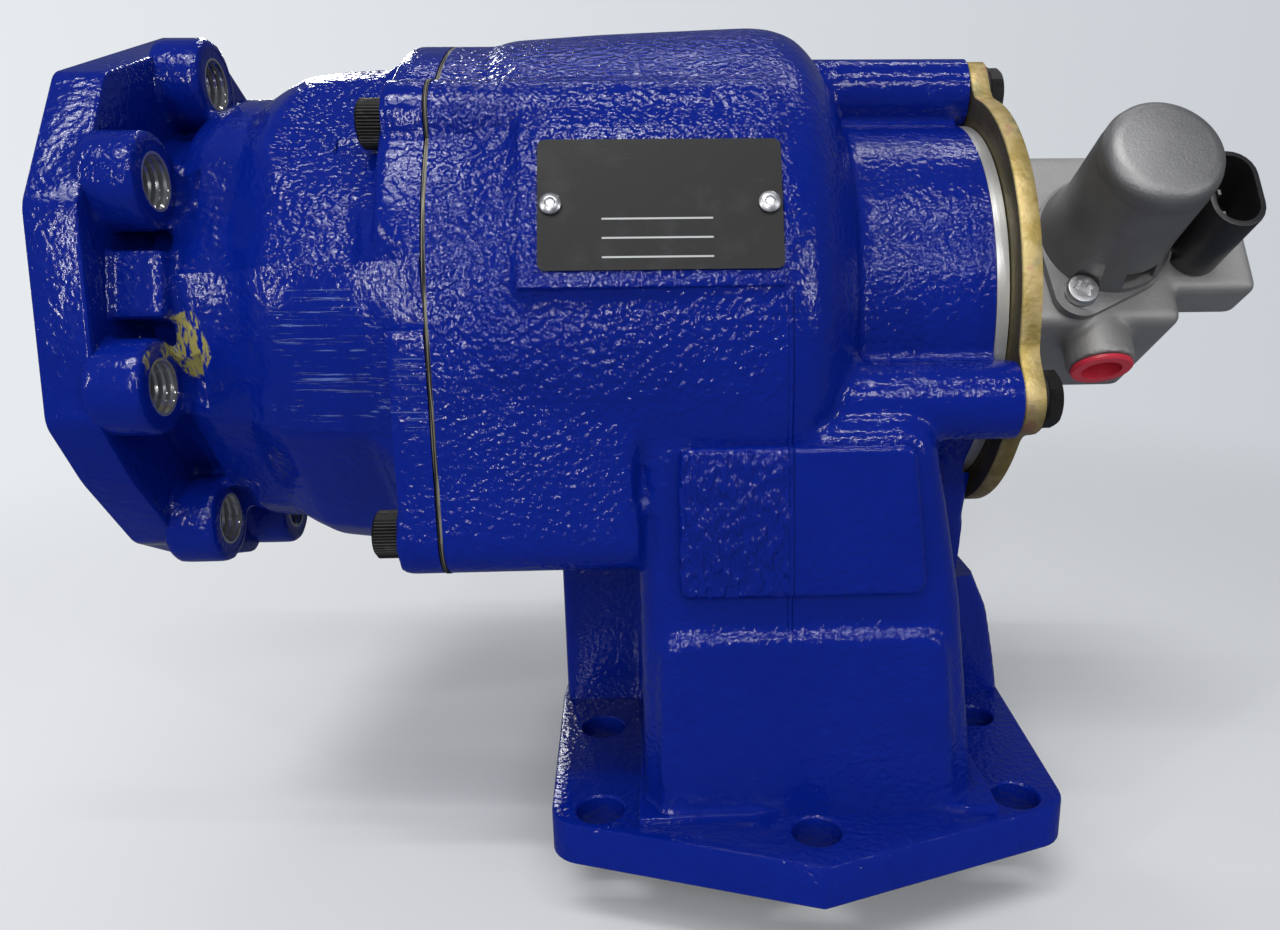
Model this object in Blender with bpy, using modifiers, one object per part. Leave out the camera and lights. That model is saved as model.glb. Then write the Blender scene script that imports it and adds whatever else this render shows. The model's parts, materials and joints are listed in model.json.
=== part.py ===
"""Clutch shift power take off unit for a ten bolt transmission pad.

The origin is the centre of the pad on its mounting face. The pad faces down (-Z), the shafts run
along X, the pump flange is at -X and the electric valve at +X.
"""
import math

import bmesh
import bpy
from mathutils import Matrix, Vector

MM = 0.001
GAP = 0.3 * MM
INCH = 25.4 * MM

# Gears, and the two shaft axes that they set
MODULE = 4 * MM
RATIO_TEETH = 24
CLUTCH_TEETH = 30
INPUT_TEETH = 26
PRESSURE_ANGLE = math.radians(20)
BACKLASH = 0.12 * MM
IDLER_Y = 10 * MM
IDLER_Z = 34.6 * MM
SHAFT_Y = -5.5 * MM
CENTRES = MODULE * (RATIO_TEETH + CLUTCH_TEETH) / 2
SHAFT_Z = IDLER_Z + math.sqrt(CENTRES ** 2 - (IDLER_Y - SHAFT_Y) ** 2)
RATIO_GEAR_X = (-37 * MM, -9 * MM)
INPUT_GEAR_X = (RATIO_GEAR_X[1] + GAP, 27 * MM)
CLUTCH_GEAR_X = (RATIO_GEAR_X[0] + 1 * MM, RATIO_GEAR_X[1] - 1 * MM)

# Transmission pad
PAD_THICK = 12 * MM
PAD_CORNER = (70.5 * MM, 71.5 * MM)
PAD_POINT_Y = 96 * MM
PAD_WAIST_X = 73.5 * MM
PAD_ROUND = 10 * MM
PAD_BOLT_D = 13 * MM
PAD_BOLTS = ((59 * MM, 22 * MM), (57.3 * MM, 67 * MM), (0, 80.3 * MM))
PLINTH_X = (-46.7 * MM, 50 * MM)
PLINTH_HALF_Y = 76 * MM
PLINTH_RISE = 2.5 * MM
SPOT_FACE_RADIUS = 89 * MM
SPOT_FACE_X = 13 * MM
SPOT_FACE_Y = 160 * MM

# Gear case above the pad
CASE_LEFT_X = -45 * MM
CASE_RIGHT = ((45.5 * MM, 16 * MM), (38 * MM, 72 * MM), (30 * MM, 112 * MM))
CASE_TOP_Z = 121 * MM
CASE_FRONT_Y = -71 * MM
CASE_BACK_Y = 73 * MM
CASE_LEAN = 0.072
CASE_ROUND = 9 * MM
PANEL_X = (-34 * MM, 26 * MM)
PANEL_Z = (76 * MM, 115 * MM)
PANEL_RISE = 1.6 * MM
LEFT_POST_X = -72 * MM
POST_FRONT_Y = -3 * MM
POST_BACK_Y = 12 * MM
POST_LEAN = 0.4
RIGHT_POST = ((36, 6), (73, 6), (73, 14), (70, 26), (64, 46), (57, 60), (51, 74), (50, 80), (50, 104))
RIGHT_POST += ((36, 104),)

# Drum of the main housing
CLUTCH_BORE_R = 65.3 * MM
DRUM_RADII = (CLUTCH_BORE_R + 7.7 * MM, CLUTCH_BORE_R + 11.2 * MM)
DRUM_END_X = 12 * MM
DRUM_SHOULDER = 12 * MM
JOINT_X = -92.4 * MM
GASKET_THICK = 1 * MM
CASE_FACE_X = JOINT_X + GASKET_THICK + 2 * GAP

# Ears and screws of the joint
EAR_RADIUS = 10 * MM
EAR_LENGTH = 9.6 * MM
UPPER_EAR_R = DRUM_RADII[0] - 4.3 * MM
LOWER_EAR_R = DRUM_RADII[0] + 8 * MM
UPPER_RIB_END_X = -11 * MM
LOWER_RIB_END_X = -44 * MM
EARS = ((UPPER_EAR_R, 46, UPPER_RIB_END_X), (LOWER_EAR_R, -36.6, LOWER_RIB_END_X),
        (UPPER_EAR_R, 134, UPPER_RIB_END_X), (LOWER_EAR_R, 216.6, LOWER_RIB_END_X))
JOINT_SCREW_D = 8 * MM
JOINT_HEAD_D = 12 * MM
JOINT_HEAD_H = 7 * MM
JOINT_SCREW_REACH = 24 * MM

# Nameplate and its pad
PLATE_ANGLE = math.radians(23)
PLATE_PAD_X = (-70.5 * MM, -9.5 * MM)
PLATE_PAD_HEIGHT = 39 * MM
PLATE_PAD_REACH = DRUM_RADII[1]
PLATE_X = (-65.4 * MM, -10.1 * MM)
PLATE_HEIGHT = 31.5 * MM
PLATE_THICK = 0.6 * MM
DRIVE_SCREW_HEAD_D = 5.6 * MM
DRIVE_SCREW_D = 2.8 * MM
DRIVE_SCREW_IN = 3 * MM

# Pump flange housing
FLANGE_X = -180 * MM
FLANGE_THICK = 12 * MM
FLANGE_CORNERS = ((80, 100), (77, 53), (74, 25), (74.5, -14), (71, -29), (71, -52), (71, -75))
FLANGE_CORNERS += ((75, -92), (71, -110), (71, -133), (74, -156), (74.5, 171), (77, 135))
PUMP_BOLT_CIRCLE = 5 * INCH
PUMP_BOLT_D = 0.5 * INCH
PUMP_BOLTS = 8
PUMP_BOLT_ANGLE = 35
PUMP_BOSS_D = 23 * MM
PUMP_BOSS_END_X = -157 * MM
PILOT_D = 4 * INCH
PILOT_DEPTH = 10.5 * MM
NECK = ((-169, 55), (-160, 54.5), (-153, 57), (-140, 60.3), (-130, 64), (-122, 66.3), (-108, 68.5))
NECK += ((-100, 72),)

# Rear bearing housing with the clamped valve block
VALVE_FLANGE_R = 51.6 * MM
BEARING_HOUSING_R = VALVE_FLANGE_R + 0.4 * MM
CASE_END_X = 46.8 * MM
COVER_BOLT_R = VALVE_FLANGE_R + 8.9 * MM
COVER_BOLT_ANGLES = (92, -18, -143)
COVER_BOSS_R = 10 * MM
COVER_BOSS_END_X = 50.3 * MM
COVER_BOLT_D = 8 * MM
COVER_HEAD_ACROSS = 13 * MM
COVER_HEAD_H = 5 * MM
CLAMP_PLATE_X = (50.6 * MM, 56 * MM)
CLAMP_PLATE_R = VALVE_FLANGE_R + 7.9 * MM
CLAMP_PLATE_HOLE_R = VALVE_FLANGE_R - 6 * MM
SPIGOT_R = 46 * MM
SPIGOT_X = 35.3 * MM

# Valve block, clocked about the shaft axis: v points to the solenoid can and t across it
VALVE_CLOCK = math.radians(34)
BLOCK_X = 110 * MM
BLOCK_V = (-26 * MM, 20 * MM)
BLOCK_T = (-17 * MM, 40 * MM)
WING_X = 134 * MM
WING_V = (4 * MM, 20 * MM)
WING_T = (-7 * MM, 22 * MM)
PORT_X = 88 * MM
PORT_V = 10.4 * MM
PORT_FACE_T = -26 * MM
PORT_BOSS_R = 9.5 * MM
PORT_D = 14 * MM
PLUG_DEPTH = 9 * MM
CAN_X = 90 * MM
CAN_T = 9.5 * MM
CAN_R = 16.3 * MM
CAN_CAP_R = 15.3 * MM
CAN_TOP_V = 63 * MM
CAN_FOOT_R = 18 * MM
CAN_FOOT_H = 4 * MM
CAN_SCREW_X = 80 * MM
CAN_SCREW_T = -9 * MM
CAN_SCREW_D = 5 * MM
SPOOL_R = 5 * MM
SPOOL_BOTTOM_V = -14 * MM
SPOOL_TOP_V = 17 * MM
PLUNGER_TOP_V = 40 * MM
SPOOL_STROKE = 1.5 * MM
PLUG_BODY_X = 116 * MM
PLUG_BODY_T = 9 * MM
PLUG_BODY_TOP_V = 46 * MM
PLUG_BODY_HALF = (7.5 * MM, 12 * MM)

# Output shaft, its bearings and its seal
SHAFT_FRONT_X = -172 * MM
SHAFT_STEP_X = -104.5 * MM
SHAFT_END_X = 34.6 * MM
SHAFT_FRONT_R = 22.2 * MM
SHAFT_R = 20 * MM
SOCKET_DEPTH = 45 * MM
SOCKET_TEETH = 13
SOCKET_R = (10 * MM, 11.6 * MM)
OIL_BORE_R = 3 * MM
FRONT_BEARING_X = (-128 * MM, -109 * MM)
FRONT_BEARING_R = (22.5 * MM, 42.5 * MM)
REAR_BEARING_X = (17 * MM, 35 * MM)
REAR_BEARING_R = (SHAFT_R + GAP, 40 * MM)
BALLS = 7
SEAL_X = (-140 * MM, -131.5 * MM)
SEAL_R = 33 * MM

# Clutch between the drum on the shaft and the clutch gear
CLUTCH_DRUM_X = (-87 * MM, -46 * MM)
CLUTCH_DRUM_R = (CLUTCH_BORE_R - 7.3 * MM, CLUTCH_BORE_R - 2.3 * MM)
CLUTCH_WALL = 5 * MM
CLUTCH_HUB_R = SHAFT_R + 5 * MM
CLUTCH_HUB_END_X = -58.6 * MM
PISTON_THICK = 6.6 * MM
PISTON_STROKE = 1.2 * MM
STEEL_DISC = 2.4 * MM
FRICTION_DISC = 3 * MM
DISC_PAIRS = 3
BACKING_PLATE = 4 * MM
DRUM_TABS = 8
SLEEVE_R = (CLUTCH_HUB_R + 8 * MM, CLUTCH_HUB_R + 11.5 * MM)
SLEEVE_TEETH = 8
SLEEVE_TOOTH = 2.4 * MM
GEAR_BORE_R = SHAFT_R + 4 * MM
SPRING_R = CLUTCH_HUB_R + 3.6 * MM
SPRING_WIRE_R = 1.3 * MM
SPRING_TURNS = 3

# Idler shaft and its needle rollers
IDLER_R = 9 * MM
ROLLER_R = 1.75 * MM
ROLLERS = 10
IDLER_SHAFT_X = (-55 * MM, 41 * MM)
IDLER_BOSS_R = 13 * MM
WASHER_THICK = 1.8 * MM
GEAR_TURN_CLEAR = 2 * MM

SHAFT = (SHAFT_Y, SHAFT_Z)
IDLER = (IDLER_Y, IDLER_Z)

for old in list(bpy.data.objects):
    bpy.data.objects.remove(old, do_unlink=True)

parts = bpy.data.collections.new("power_take_off_unit")
cutters = bpy.data.collections.new("cutters")
bpy.context.scene.collection.children.link(parts)
bpy.context.scene.collection.children.link(cutters)


def material(name, colour, metallic, roughness):
    made = bpy.data.materials.new(name)
    made.use_nodes = True
    shader = made.node_tree.nodes["Principled BSDF"]
    shader.inputs["Base Color"].default_value = (*colour, 1)
    shader.inputs["Metallic"].default_value = metallic
    shader.inputs["Roughness"].default_value = roughness
    return made


BLUE_PAINT = material("blue_paint", (0.005, 0.014, 0.26), 0.0, 0.22)
BLACK_OXIDE = material("black_oxide", (0.02, 0.02, 0.022), 0.7, 0.45)
STEEL = material("steel", (0.55, 0.55, 0.56), 1.0, 0.32)
GREY_GASKET = material("grey_gasket", (0.12, 0.12, 0.12), 0.6, 0.5)
YELLOW_ZINC = material("yellow_zinc", (0.62, 0.45, 0.2), 1.0, 0.35)
CAST_ALUMINIUM = material("cast_aluminium", (0.6, 0.6, 0.58), 1.0, 0.5)
CAN_METAL = material("can_metal", (0.3, 0.3, 0.3), 1.0, 0.4)
BLACK_PLASTIC = material("black_plastic", (0.015, 0.015, 0.016), 0.0, 0.4)
RED_PLASTIC = material("red_plastic", (0.5, 0.01, 0.015), 0.0, 0.4)
BLACK_PLATE = material("black_plate", (0.012, 0.012, 0.012), 0.3, 0.45)
RUBBER = material("rubber", (0.02, 0.02, 0.02), 0.0, 0.6)
BRONZE = material("bronze", (0.6, 0.36, 0.14), 1.0, 0.35)
FRICTION_PAPER = material("friction_paper", (0.22, 0.15, 0.08), 0.0, 0.8)
COPPER = material("copper", (0.7, 0.3, 0.15), 1.0, 0.35)

# Ribs and bosses graze the round walls of the castings, where only the MANIFOLD solver stays closed
CASTINGS = ("main_housing", "pump_flange_housing")


def add(name, mesh, look=None):
    """Put a mesh in the scene as one sub-part, or as a cutter when it has no material."""
    made = bpy.data.objects.new(name, mesh)
    (parts if look else cutters).objects.link(made)
    if look:
        mesh.materials.append(look)
    else:
        made.hide_render = True
        made.display_type = "WIRE"
    return made


def boolean(target, tool, operation):
    step = target.modifiers.new(tool.name, "BOOLEAN")
    step.operation = operation
    step.solver = "MANIFOLD" if target.name in CASTINGS else "EXACT"
    step.object = tool


def join(target, *tools):
    for tool in tools:
        boolean(target, tool, "UNION")


def cut(target, *tools):
    for tool in tools:
        boolean(target, tool, "DIFFERENCE")


def rounded(made, width, segments=2, angle=30):
    step = made.modifiers.new("rounded", "BEVEL")
    step.width = width
    step.segments = segments
    step.limit_method = "ANGLE"
    step.angle_limit = math.radians(angle)
    return made


def mesh_from(name, fill, matrix=None):
    shape = bmesh.new()
    fill(shape)
    if matrix:
        shape.transform(matrix)
    mesh = bpy.data.meshes.new(name)
    shape.to_mesh(mesh)
    shape.free()
    return mesh


def box(name, low, high, look=None, matrix=None):
    size = [h - l for l, h in zip(low, high)]
    middle = [(l + h) / 2 for l, h in zip(low, high)]
    frame = Matrix.Translation(middle) @ Matrix.Diagonal((*size, 1))
    if matrix:
        frame = matrix @ frame
    return add(name, mesh_from(name, lambda s: bmesh.ops.create_cube(s, size=1), frame), look)


def along_x(centre, x=0.0):
    """Frame whose Z runs along the part's X through a centre (y, z)."""
    return Matrix.Translation((x, *centre)) @ Matrix.Rotation(math.pi / 2, 4, "Y")


def around(centre, radius, degrees):
    """Point (y, z) at a radius and an angle above the direction towards -Y."""
    angle = math.radians(degrees)
    return centre[0] - radius * math.cos(angle), centre[1] + radius * math.sin(angle)


def rod(name, radius, ends, matrix, look=None, sides=20):
    """Cylinder along the Z axis of a frame, between two heights."""
    low, high = ends
    frame = matrix @ Matrix.Translation((0, 0, (low + high) / 2))

    def fill(shape):
        bmesh.ops.create_cone(shape, cap_ends=True, segments=sides, radius1=radius,
                              radius2=radius, depth=high - low)
    return add(name, mesh_from(name, fill, frame), look)


def hole(name, radius, ends, matrix, sides=8):
    """Cutter for a round hole: its flat sides touch the radius, so that a round pin clears them."""
    return rod(name, radius / math.cos(math.pi / sides), ends, matrix, sides=sides)


def turned(name, profile, matrix, look=None, sides=24):
    """Turn a closed profile of (radius, height) points about the Z axis of a frame."""
    area = sum(a[0] * b[1] - b[0] * a[1] for a, b in zip(profile, profile[1:] + profile[:1]))
    if area > 0:
        profile = profile[::-1]
    solid_core = any(radius == 0 for radius, _ in profile)

    def fill(shape):
        points = [shape.verts.new((radius, 0, height)) for radius, height in profile]
        for here, there in zip(points, points[1:] + points[:1]):
            if here.co.x > 0 or there.co.x > 0:
                shape.edges.new((here, there))
    made = add(name, mesh_from(name, fill), look)
    made.matrix_world = matrix
    step = made.modifiers.new("turned", "SCREW")
    step.steps = sides
    step.render_steps = sides
    step.use_merge_vertices = True
    step.merge_threshold = 0.00001
    step.use_smooth_shade = not solid_core
    return made


def ring(name, radii, ends, matrix, look=None, sides=24):
    low, high = ends
    inner, outer = radii
    return turned(name, [(inner, low), (inner, high), (outer, high), (outer, low)], matrix, look, sides)


def plate(name, outlines, ends, matrix, look=None):
    """Flat outline, with holes as further outlines, between two heights of a frame."""
    curve = bpy.data.curves.new(name, "CURVE")
    curve.dimensions = "2D"
    curve.fill_mode = "BOTH"
    curve.extrude = (ends[1] - ends[0]) / 2
    for outline in outlines:
        line = curve.splines.new("POLY")
        line.points.add(len(outline) - 1)
        for point, (x, y) in zip(line.points, outline):
            point.co = (x, y, 0, 1)
        line.use_cyclic_u = True
    drawn = bpy.data.objects.new(name, curve)
    bpy.context.scene.collection.objects.link(drawn)
    bpy.context.view_layer.update()
    mesh = bpy.data.meshes.new_from_object(drawn.evaluated_get(bpy.context.evaluated_depsgraph_get()))
    bpy.data.objects.remove(drawn)
    shape = bmesh.new()
    shape.from_mesh(mesh)
    bmesh.ops.remove_doubles(shape, verts=shape.verts, dist=0.000001)
    bmesh.ops.recalc_face_normals(shape, faces=shape.faces)
    shape.transform(matrix @ Matrix.Translation((0, 0, (ends[0] + ends[1]) / 2)))
    shape.to_mesh(mesh)
    shape.free()
    mesh.materials.clear()
    return add(name, mesh, look)


def circle(radius, sides, centre=(0, 0), start=0.0):
    turn = [start + 2 * math.pi * step / sides for step in range(sides)]
    return [(centre[0] + radius * math.cos(a), centre[1] + radius * math.sin(a)) for a in turn]


def round_corners(points, radius, steps=3):
    """Replace each corner of an outline by an arc."""
    outline = []
    for before, corner, after in zip(points[-1:] + points[:-1], points, points[1:] + points[:1]):
        corner = Vector(corner)
        back = (Vector(before) - corner).normalized()
        on = (Vector(after) - corner).normalized()
        half = back.angle(on) / 2
        centre = corner + (back + on).normalized() * radius / math.sin(half)
        start = corner + back * radius / math.tan(half) - centre
        end = corner + on * radius / math.tan(half) - centre
        for step in range(steps + 1):
            spoke = start.lerp(end, step / steps).normalized() * radius
            outline.append(tuple(centre + spoke))
    return outline


def toothed(low, high, teeth, share, phase=0.0, arc_points=3):
    """Outline with square teeth: a share of each pitch stands at the high radius."""
    outline = []
    for tooth in range(teeth):
        for radius, start, width in ((high, -share / 2, share), (low, share / 2, 1 - share)):
            for step in range(arc_points):
                turn = tooth + start + width * step / (arc_points - 1)
                angle = phase + 2 * math.pi * turn / teeth
                outline.append((radius * math.cos(angle), radius * math.sin(angle)))
    return outline


def gear_outline(teeth, phase):
    """Involute teeth, thinned by the backlash, with one tooth at the phase angle."""
    pitch_r = MODULE * teeth / 2
    base_r = pitch_r * math.cos(PRESSURE_ANGLE)
    root_r = pitch_r - 1.25 * MODULE
    tip_r = pitch_r + 0.95 * MODULE

    def involute(radius):
        angle = math.acos(min(1.0, base_r / radius))
        return math.tan(angle) - angle
    half = math.pi / (2 * teeth) - BACKLASH / pitch_r + involute(pitch_r)
    flank = [base_r + (tip_r - base_r) * step / 2 for step in range(3)]
    rise = [(root_r, half)] + [(radius, half - involute(radius)) for radius in flank]
    side = [(radius, -angle) for radius, angle in rise] + rise[::-1]
    outline = []
    for tooth in range(teeth):
        turn = phase + 2 * math.pi * tooth / teeth
        outline += [(r * math.cos(turn + a), r * math.sin(turn + a)) for r, a in side]
    return outline


# A frame along X has its own X pointing down and its own Y along the part's Y
def frame_angle(y, z):
    return math.atan2(y, -z)


def pad_outline():
    corner_x, corner_y = PAD_CORNER
    quarter = ((PAD_WAIST_X, 0), (corner_x, corner_y), (0, PAD_POINT_Y), (-corner_x, corner_y))
    return list(quarter) + [(-x, -y) for x, y in quarter]


def pad_bolt_places():
    places = []
    for x, y in PAD_BOLTS:
        for sign_x in ((1, -1) if x else (1,)):
            places += [(sign_x * x, y), (sign_x * x, -y)]
    return places


def outline_in_xz(name, points, front, back, look=None):
    """Plate drawn in (x, z) and standing between two Y values."""
    frame = Matrix.Rotation(math.pi / 2, 4, "X")
    return plate(name, [points], (-back, -front), frame, look)


def lean(made, amount, from_z, back_too=True):
    """Slope the front and back walls outwards with height."""
    for vertex in made.data.vertices:
        side = -1 if vertex.co.y < SHAFT_Y else (1 if back_too else 0)
        vertex.co.y += side * amount * (vertex.co.z - from_z)


def case_shape():
    (low_x, low_z), (mid_x, mid_z), (top_x, top_z) = CASE_RIGHT
    foot = PAD_THICK / 2 - 2 * CASE_ROUND
    points = [(CASE_LEFT_X, foot), (low_x, foot), (low_x, low_z), (mid_x, mid_z)]
    points += [(top_x, top_z), (top_x - 2 * MM, CASE_TOP_Z), (CASE_LEFT_X, CASE_TOP_Z)]
    made = outline_in_xz("case_shape", points, CASE_FRONT_Y, CASE_BACK_Y - CASE_LEAN * PAD_THICK)
    lean(made, CASE_LEAN, PAD_THICK, back_too=False)
    rounded(made, CASE_ROUND, 2, 40)
    below = box("case_below", (-0.2, -0.2, -0.1), (0.2, 0.2, PAD_THICK / 2))
    cut(made, below)
    return made


def right_post_shape():
    points = [(x * MM, z * MM) for x, z in RIGHT_POST]
    made = outline_in_xz("right_post_shape", points, POST_FRONT_Y, POST_BACK_Y)
    for vertex in made.data.vertices:
        if vertex.co.y < 0:
            vertex.co.y -= POST_LEAN * (vertex.co.z - PAD_THICK)
    return rounded(made, 3 * MM, 2, 50)


def ear_places():
    return [around(SHAFT, radius, degrees) for radius, degrees, _ in EARS]


def join_ear_webs(target, ends, inset=0.0):
    """Fill the corner above each lower ear with a wall that touches both the ear and the drum."""
    drum_r = DRUM_RADII[0] - inset
    ear_r = EAR_RADIUS - inset
    swing = math.degrees(math.acos((drum_r - ear_r) / LOWER_EAR_R))
    for radius, degrees, _ in EARS:
        if radius != LOWER_EAR_R:
            continue
        side = swing if math.cos(math.radians(degrees)) > 0 else -swing
        centre = around(SHAFT, radius, degrees)
        corners = [around(SHAFT, CLUTCH_BORE_R + 3 * MM, degrees + side), around(SHAFT, drum_r, degrees + side)]
        corners += [around(centre, ear_r, degrees + side), centre]
        outline = [(-z, y) for y, z in corners]
        join(target, plate(f"{target.name}_web_{degrees}", [outline], ends, along_x((0, 0))))


def cover_bolt_places():
    return [around(SHAFT, COVER_BOLT_R, degrees) for degrees in COVER_BOLT_ANGLES]


def plate_frame():
    """Frame of the nameplate: X along the part, Y up the plate and Z out of it."""
    out = Vector((0, -math.cos(PLATE_ANGLE), math.sin(PLATE_ANGLE)))
    along = Vector((1, 0, 0))
    frame = Matrix((along, out.cross(along), out)).transposed().to_4x4()
    return Matrix.Translation((0, *SHAFT)) @ frame


def drive_screw_places():
    low, high = PLATE_X
    return [(low + DRIVE_SCREW_IN, 0), (high - DRIVE_SCREW_IN, 0)]


def main_housing():
    outline = round_corners(pad_outline(), PAD_ROUND)
    made = plate("main_housing", [outline], (0, PAD_THICK), Matrix.Identity(4), BLUE_PAINT)
    plinth = box("plinth", (PLINTH_X[0], -PLINTH_HALF_Y, PAD_THICK / 2),
                 (PLINTH_X[1], PLINTH_HALF_Y, PAD_THICK + PLINTH_RISE))
    for sign in (-1, 1):
        spot = Matrix.Translation((SPOT_FACE_X, sign * SPOT_FACE_Y, 0))
        cut(plinth, rod(f"spot_face_{sign}", SPOT_FACE_RADIUS, (0, PAD_THICK * 3), spot, sides=24))
    left_post = box("left_post", (LEFT_POST_X, POST_FRONT_Y, PAD_THICK / 2),
                    (CASE_LEFT_X + 5 * MM, POST_BACK_Y, SHAFT_Z - CLUTCH_BORE_R - 2 * MM))
    rounded(left_post, 3 * MM, 2, 50)
    boss_x = (IDLER_SHAFT_X[0] - 1 * MM, CASE_LEFT_X + 5 * MM)
    idler_boss = rod("idler_boss", IDLER_BOSS_R, boss_x, along_x(IDLER))
    start_r, end_r = DRUM_RADII
    shoulder = [(end_r - DRUM_SHOULDER * (1 - math.cos(a)), DRUM_END_X - DRUM_SHOULDER * (1 - math.sin(a)))
                for a in (math.radians(step * 30) for step in range(4))]
    profile = [(0, CASE_FACE_X), (start_r, CASE_FACE_X)] + shoulder + [(0, DRUM_END_X)]
    drum = turned("drum_shape", profile, along_x(SHAFT), sides=36)
    housing = rod("bearing_housing", BEARING_HOUSING_R, (0, CASE_END_X), along_x(SHAFT), sides=32)
    join(made, plinth, case_shape(), left_post, idler_boss, right_post_shape(), drum, housing)
    for radius, degrees, rib_end in EARS:
        ends = (CASE_FACE_X + GAP / 2, rib_end)
        centre = around(SHAFT, radius, degrees)
        join(made, rod(f"ear_rib_{degrees}", EAR_RADIUS, ends, along_x(centre), sides=14))
    join_ear_webs(made, (CASE_FACE_X + GAP / 2, LOWER_RIB_END_X - 1 * MM), 0.1 * MM)
    for number, centre in enumerate(cover_bolt_places()):
        ends = (GAP, COVER_BOSS_END_X)
        join(made, rod(f"cover_boss_{number}", COVER_BOSS_R, ends, along_x(centre), sides=14))
    half = PLATE_PAD_HEIGHT / 2
    low_corner = (PLATE_PAD_X[0], -half, CLUTCH_BORE_R + 2 * MM)
    pad = box("plate_pad", low_corner, (PLATE_PAD_X[1], half, PLATE_PAD_REACH), matrix=plate_frame())
    join(made, rounded(pad, 1 * MM, 1))
    low_corner = (PANEL_X[0], CASE_FRONT_Y - PANEL_RISE, PANEL_Z[0])
    panel = box("case_panel", low_corner, (PANEL_X[1], CASE_FRONT_Y + 3 * MM, PANEL_Z[1]))
    lean(panel, CASE_LEAN, PAD_THICK, back_too=False)
    join(made, rounded(panel, 1 * MM, 1))
    cut_housing(made)
    return made


def cut_housing(made):
    gear_low, gear_high = RATIO_GEAR_X[0], INPUT_GEAR_X[1]
    wall_low = gear_low - WASHER_THICK - 2 * GAP
    wall_high = gear_high + WASHER_THICK + 2 * GAP
    clutch_end = CLUTCH_GEAR_X[1] + GEAR_TURN_CLEAR
    gear_room = MODULE * (INPUT_TEETH + 2) / 2 + GEAR_TURN_CLEAR
    seat_x = REAR_BEARING_X[0] - GAP
    main = [(0, CASE_FACE_X - 5 * MM), (CLUTCH_BORE_R, CASE_FACE_X - 5 * MM), (CLUTCH_BORE_R, clutch_end)]
    main += [(50 * MM, clutch_end), (50 * MM, clutch_end + 10 * MM), (34 * MM, clutch_end + 13 * MM)]
    main += [(34 * MM, seat_x)]
    main += [(REAR_BEARING_R[1] + GAP, seat_x), (REAR_BEARING_R[1] + GAP, SPIGOT_X - GAP)]
    flange_seat = CASE_END_X + GAP / 3
    main += [(SPIGOT_R + GAP, SPIGOT_X - GAP), (SPIGOT_R + GAP, flange_seat)]
    main += [(VALVE_FLANGE_R + GAP, flange_seat), (VALVE_FLANGE_R + GAP, CASE_END_X + 9 * MM)]
    main += [(0, CASE_END_X + 9 * MM)]
    tools = [turned("shaft_bores", main, along_x(SHAFT), sides=36)]
    tools.append(rod("gear_room", gear_room, (wall_low, wall_high), along_x(IDLER), sides=24))
    reach = math.sqrt(gear_room ** 2 - IDLER_Z ** 2)
    tools.append(box("pad_opening", (wall_low, IDLER_Y - reach, -5 * MM), (wall_high, IDLER_Y + reach, IDLER_Z)))
    low, high = IDLER_SHAFT_X
    tools.append(rod("idler_bore", IDLER_R + GAP, (low - 20 * MM, high + GAP), along_x(IDLER)))
    for number, (x, y) in enumerate(pad_bolt_places()):
        place = Matrix.Translation((x, y, 0))
        tools.append(hole(f"pad_hole_{number}", PAD_BOLT_D / 2, (-5 * MM, PAD_THICK * 2), place))
    for number, centre in enumerate(ear_places()):
        deep = JOINT_X - EAR_LENGTH + JOINT_SCREW_REACH + 2 * MM
        ends = (JOINT_X - 5 * MM, deep)
        tools.append(hole(f"ear_hole_{number}", JOINT_SCREW_D / 2 + GAP, ends, along_x(centre)))
    for number, centre in enumerate(cover_bolt_places()):
        ends = (COVER_BOSS_END_X - 24 * MM, COVER_BOSS_END_X + 5 * MM)
        tools.append(hole(f"cover_hole_{number}", COVER_BOLT_D / 2 + GAP, ends, along_x(centre)))
    for number, (x, y) in enumerate(drive_screw_places()):
        place = plate_frame() @ Matrix.Translation((x, y, 0))
        ends = (PLATE_PAD_REACH - 5 * MM, PLATE_PAD_REACH + 5 * MM)
        tools.append(hole(f"plate_hole_{number}", DRIVE_SCREW_D / 2 + GAP, ends, place, sides=6))
    cut(made, *tools)


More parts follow.
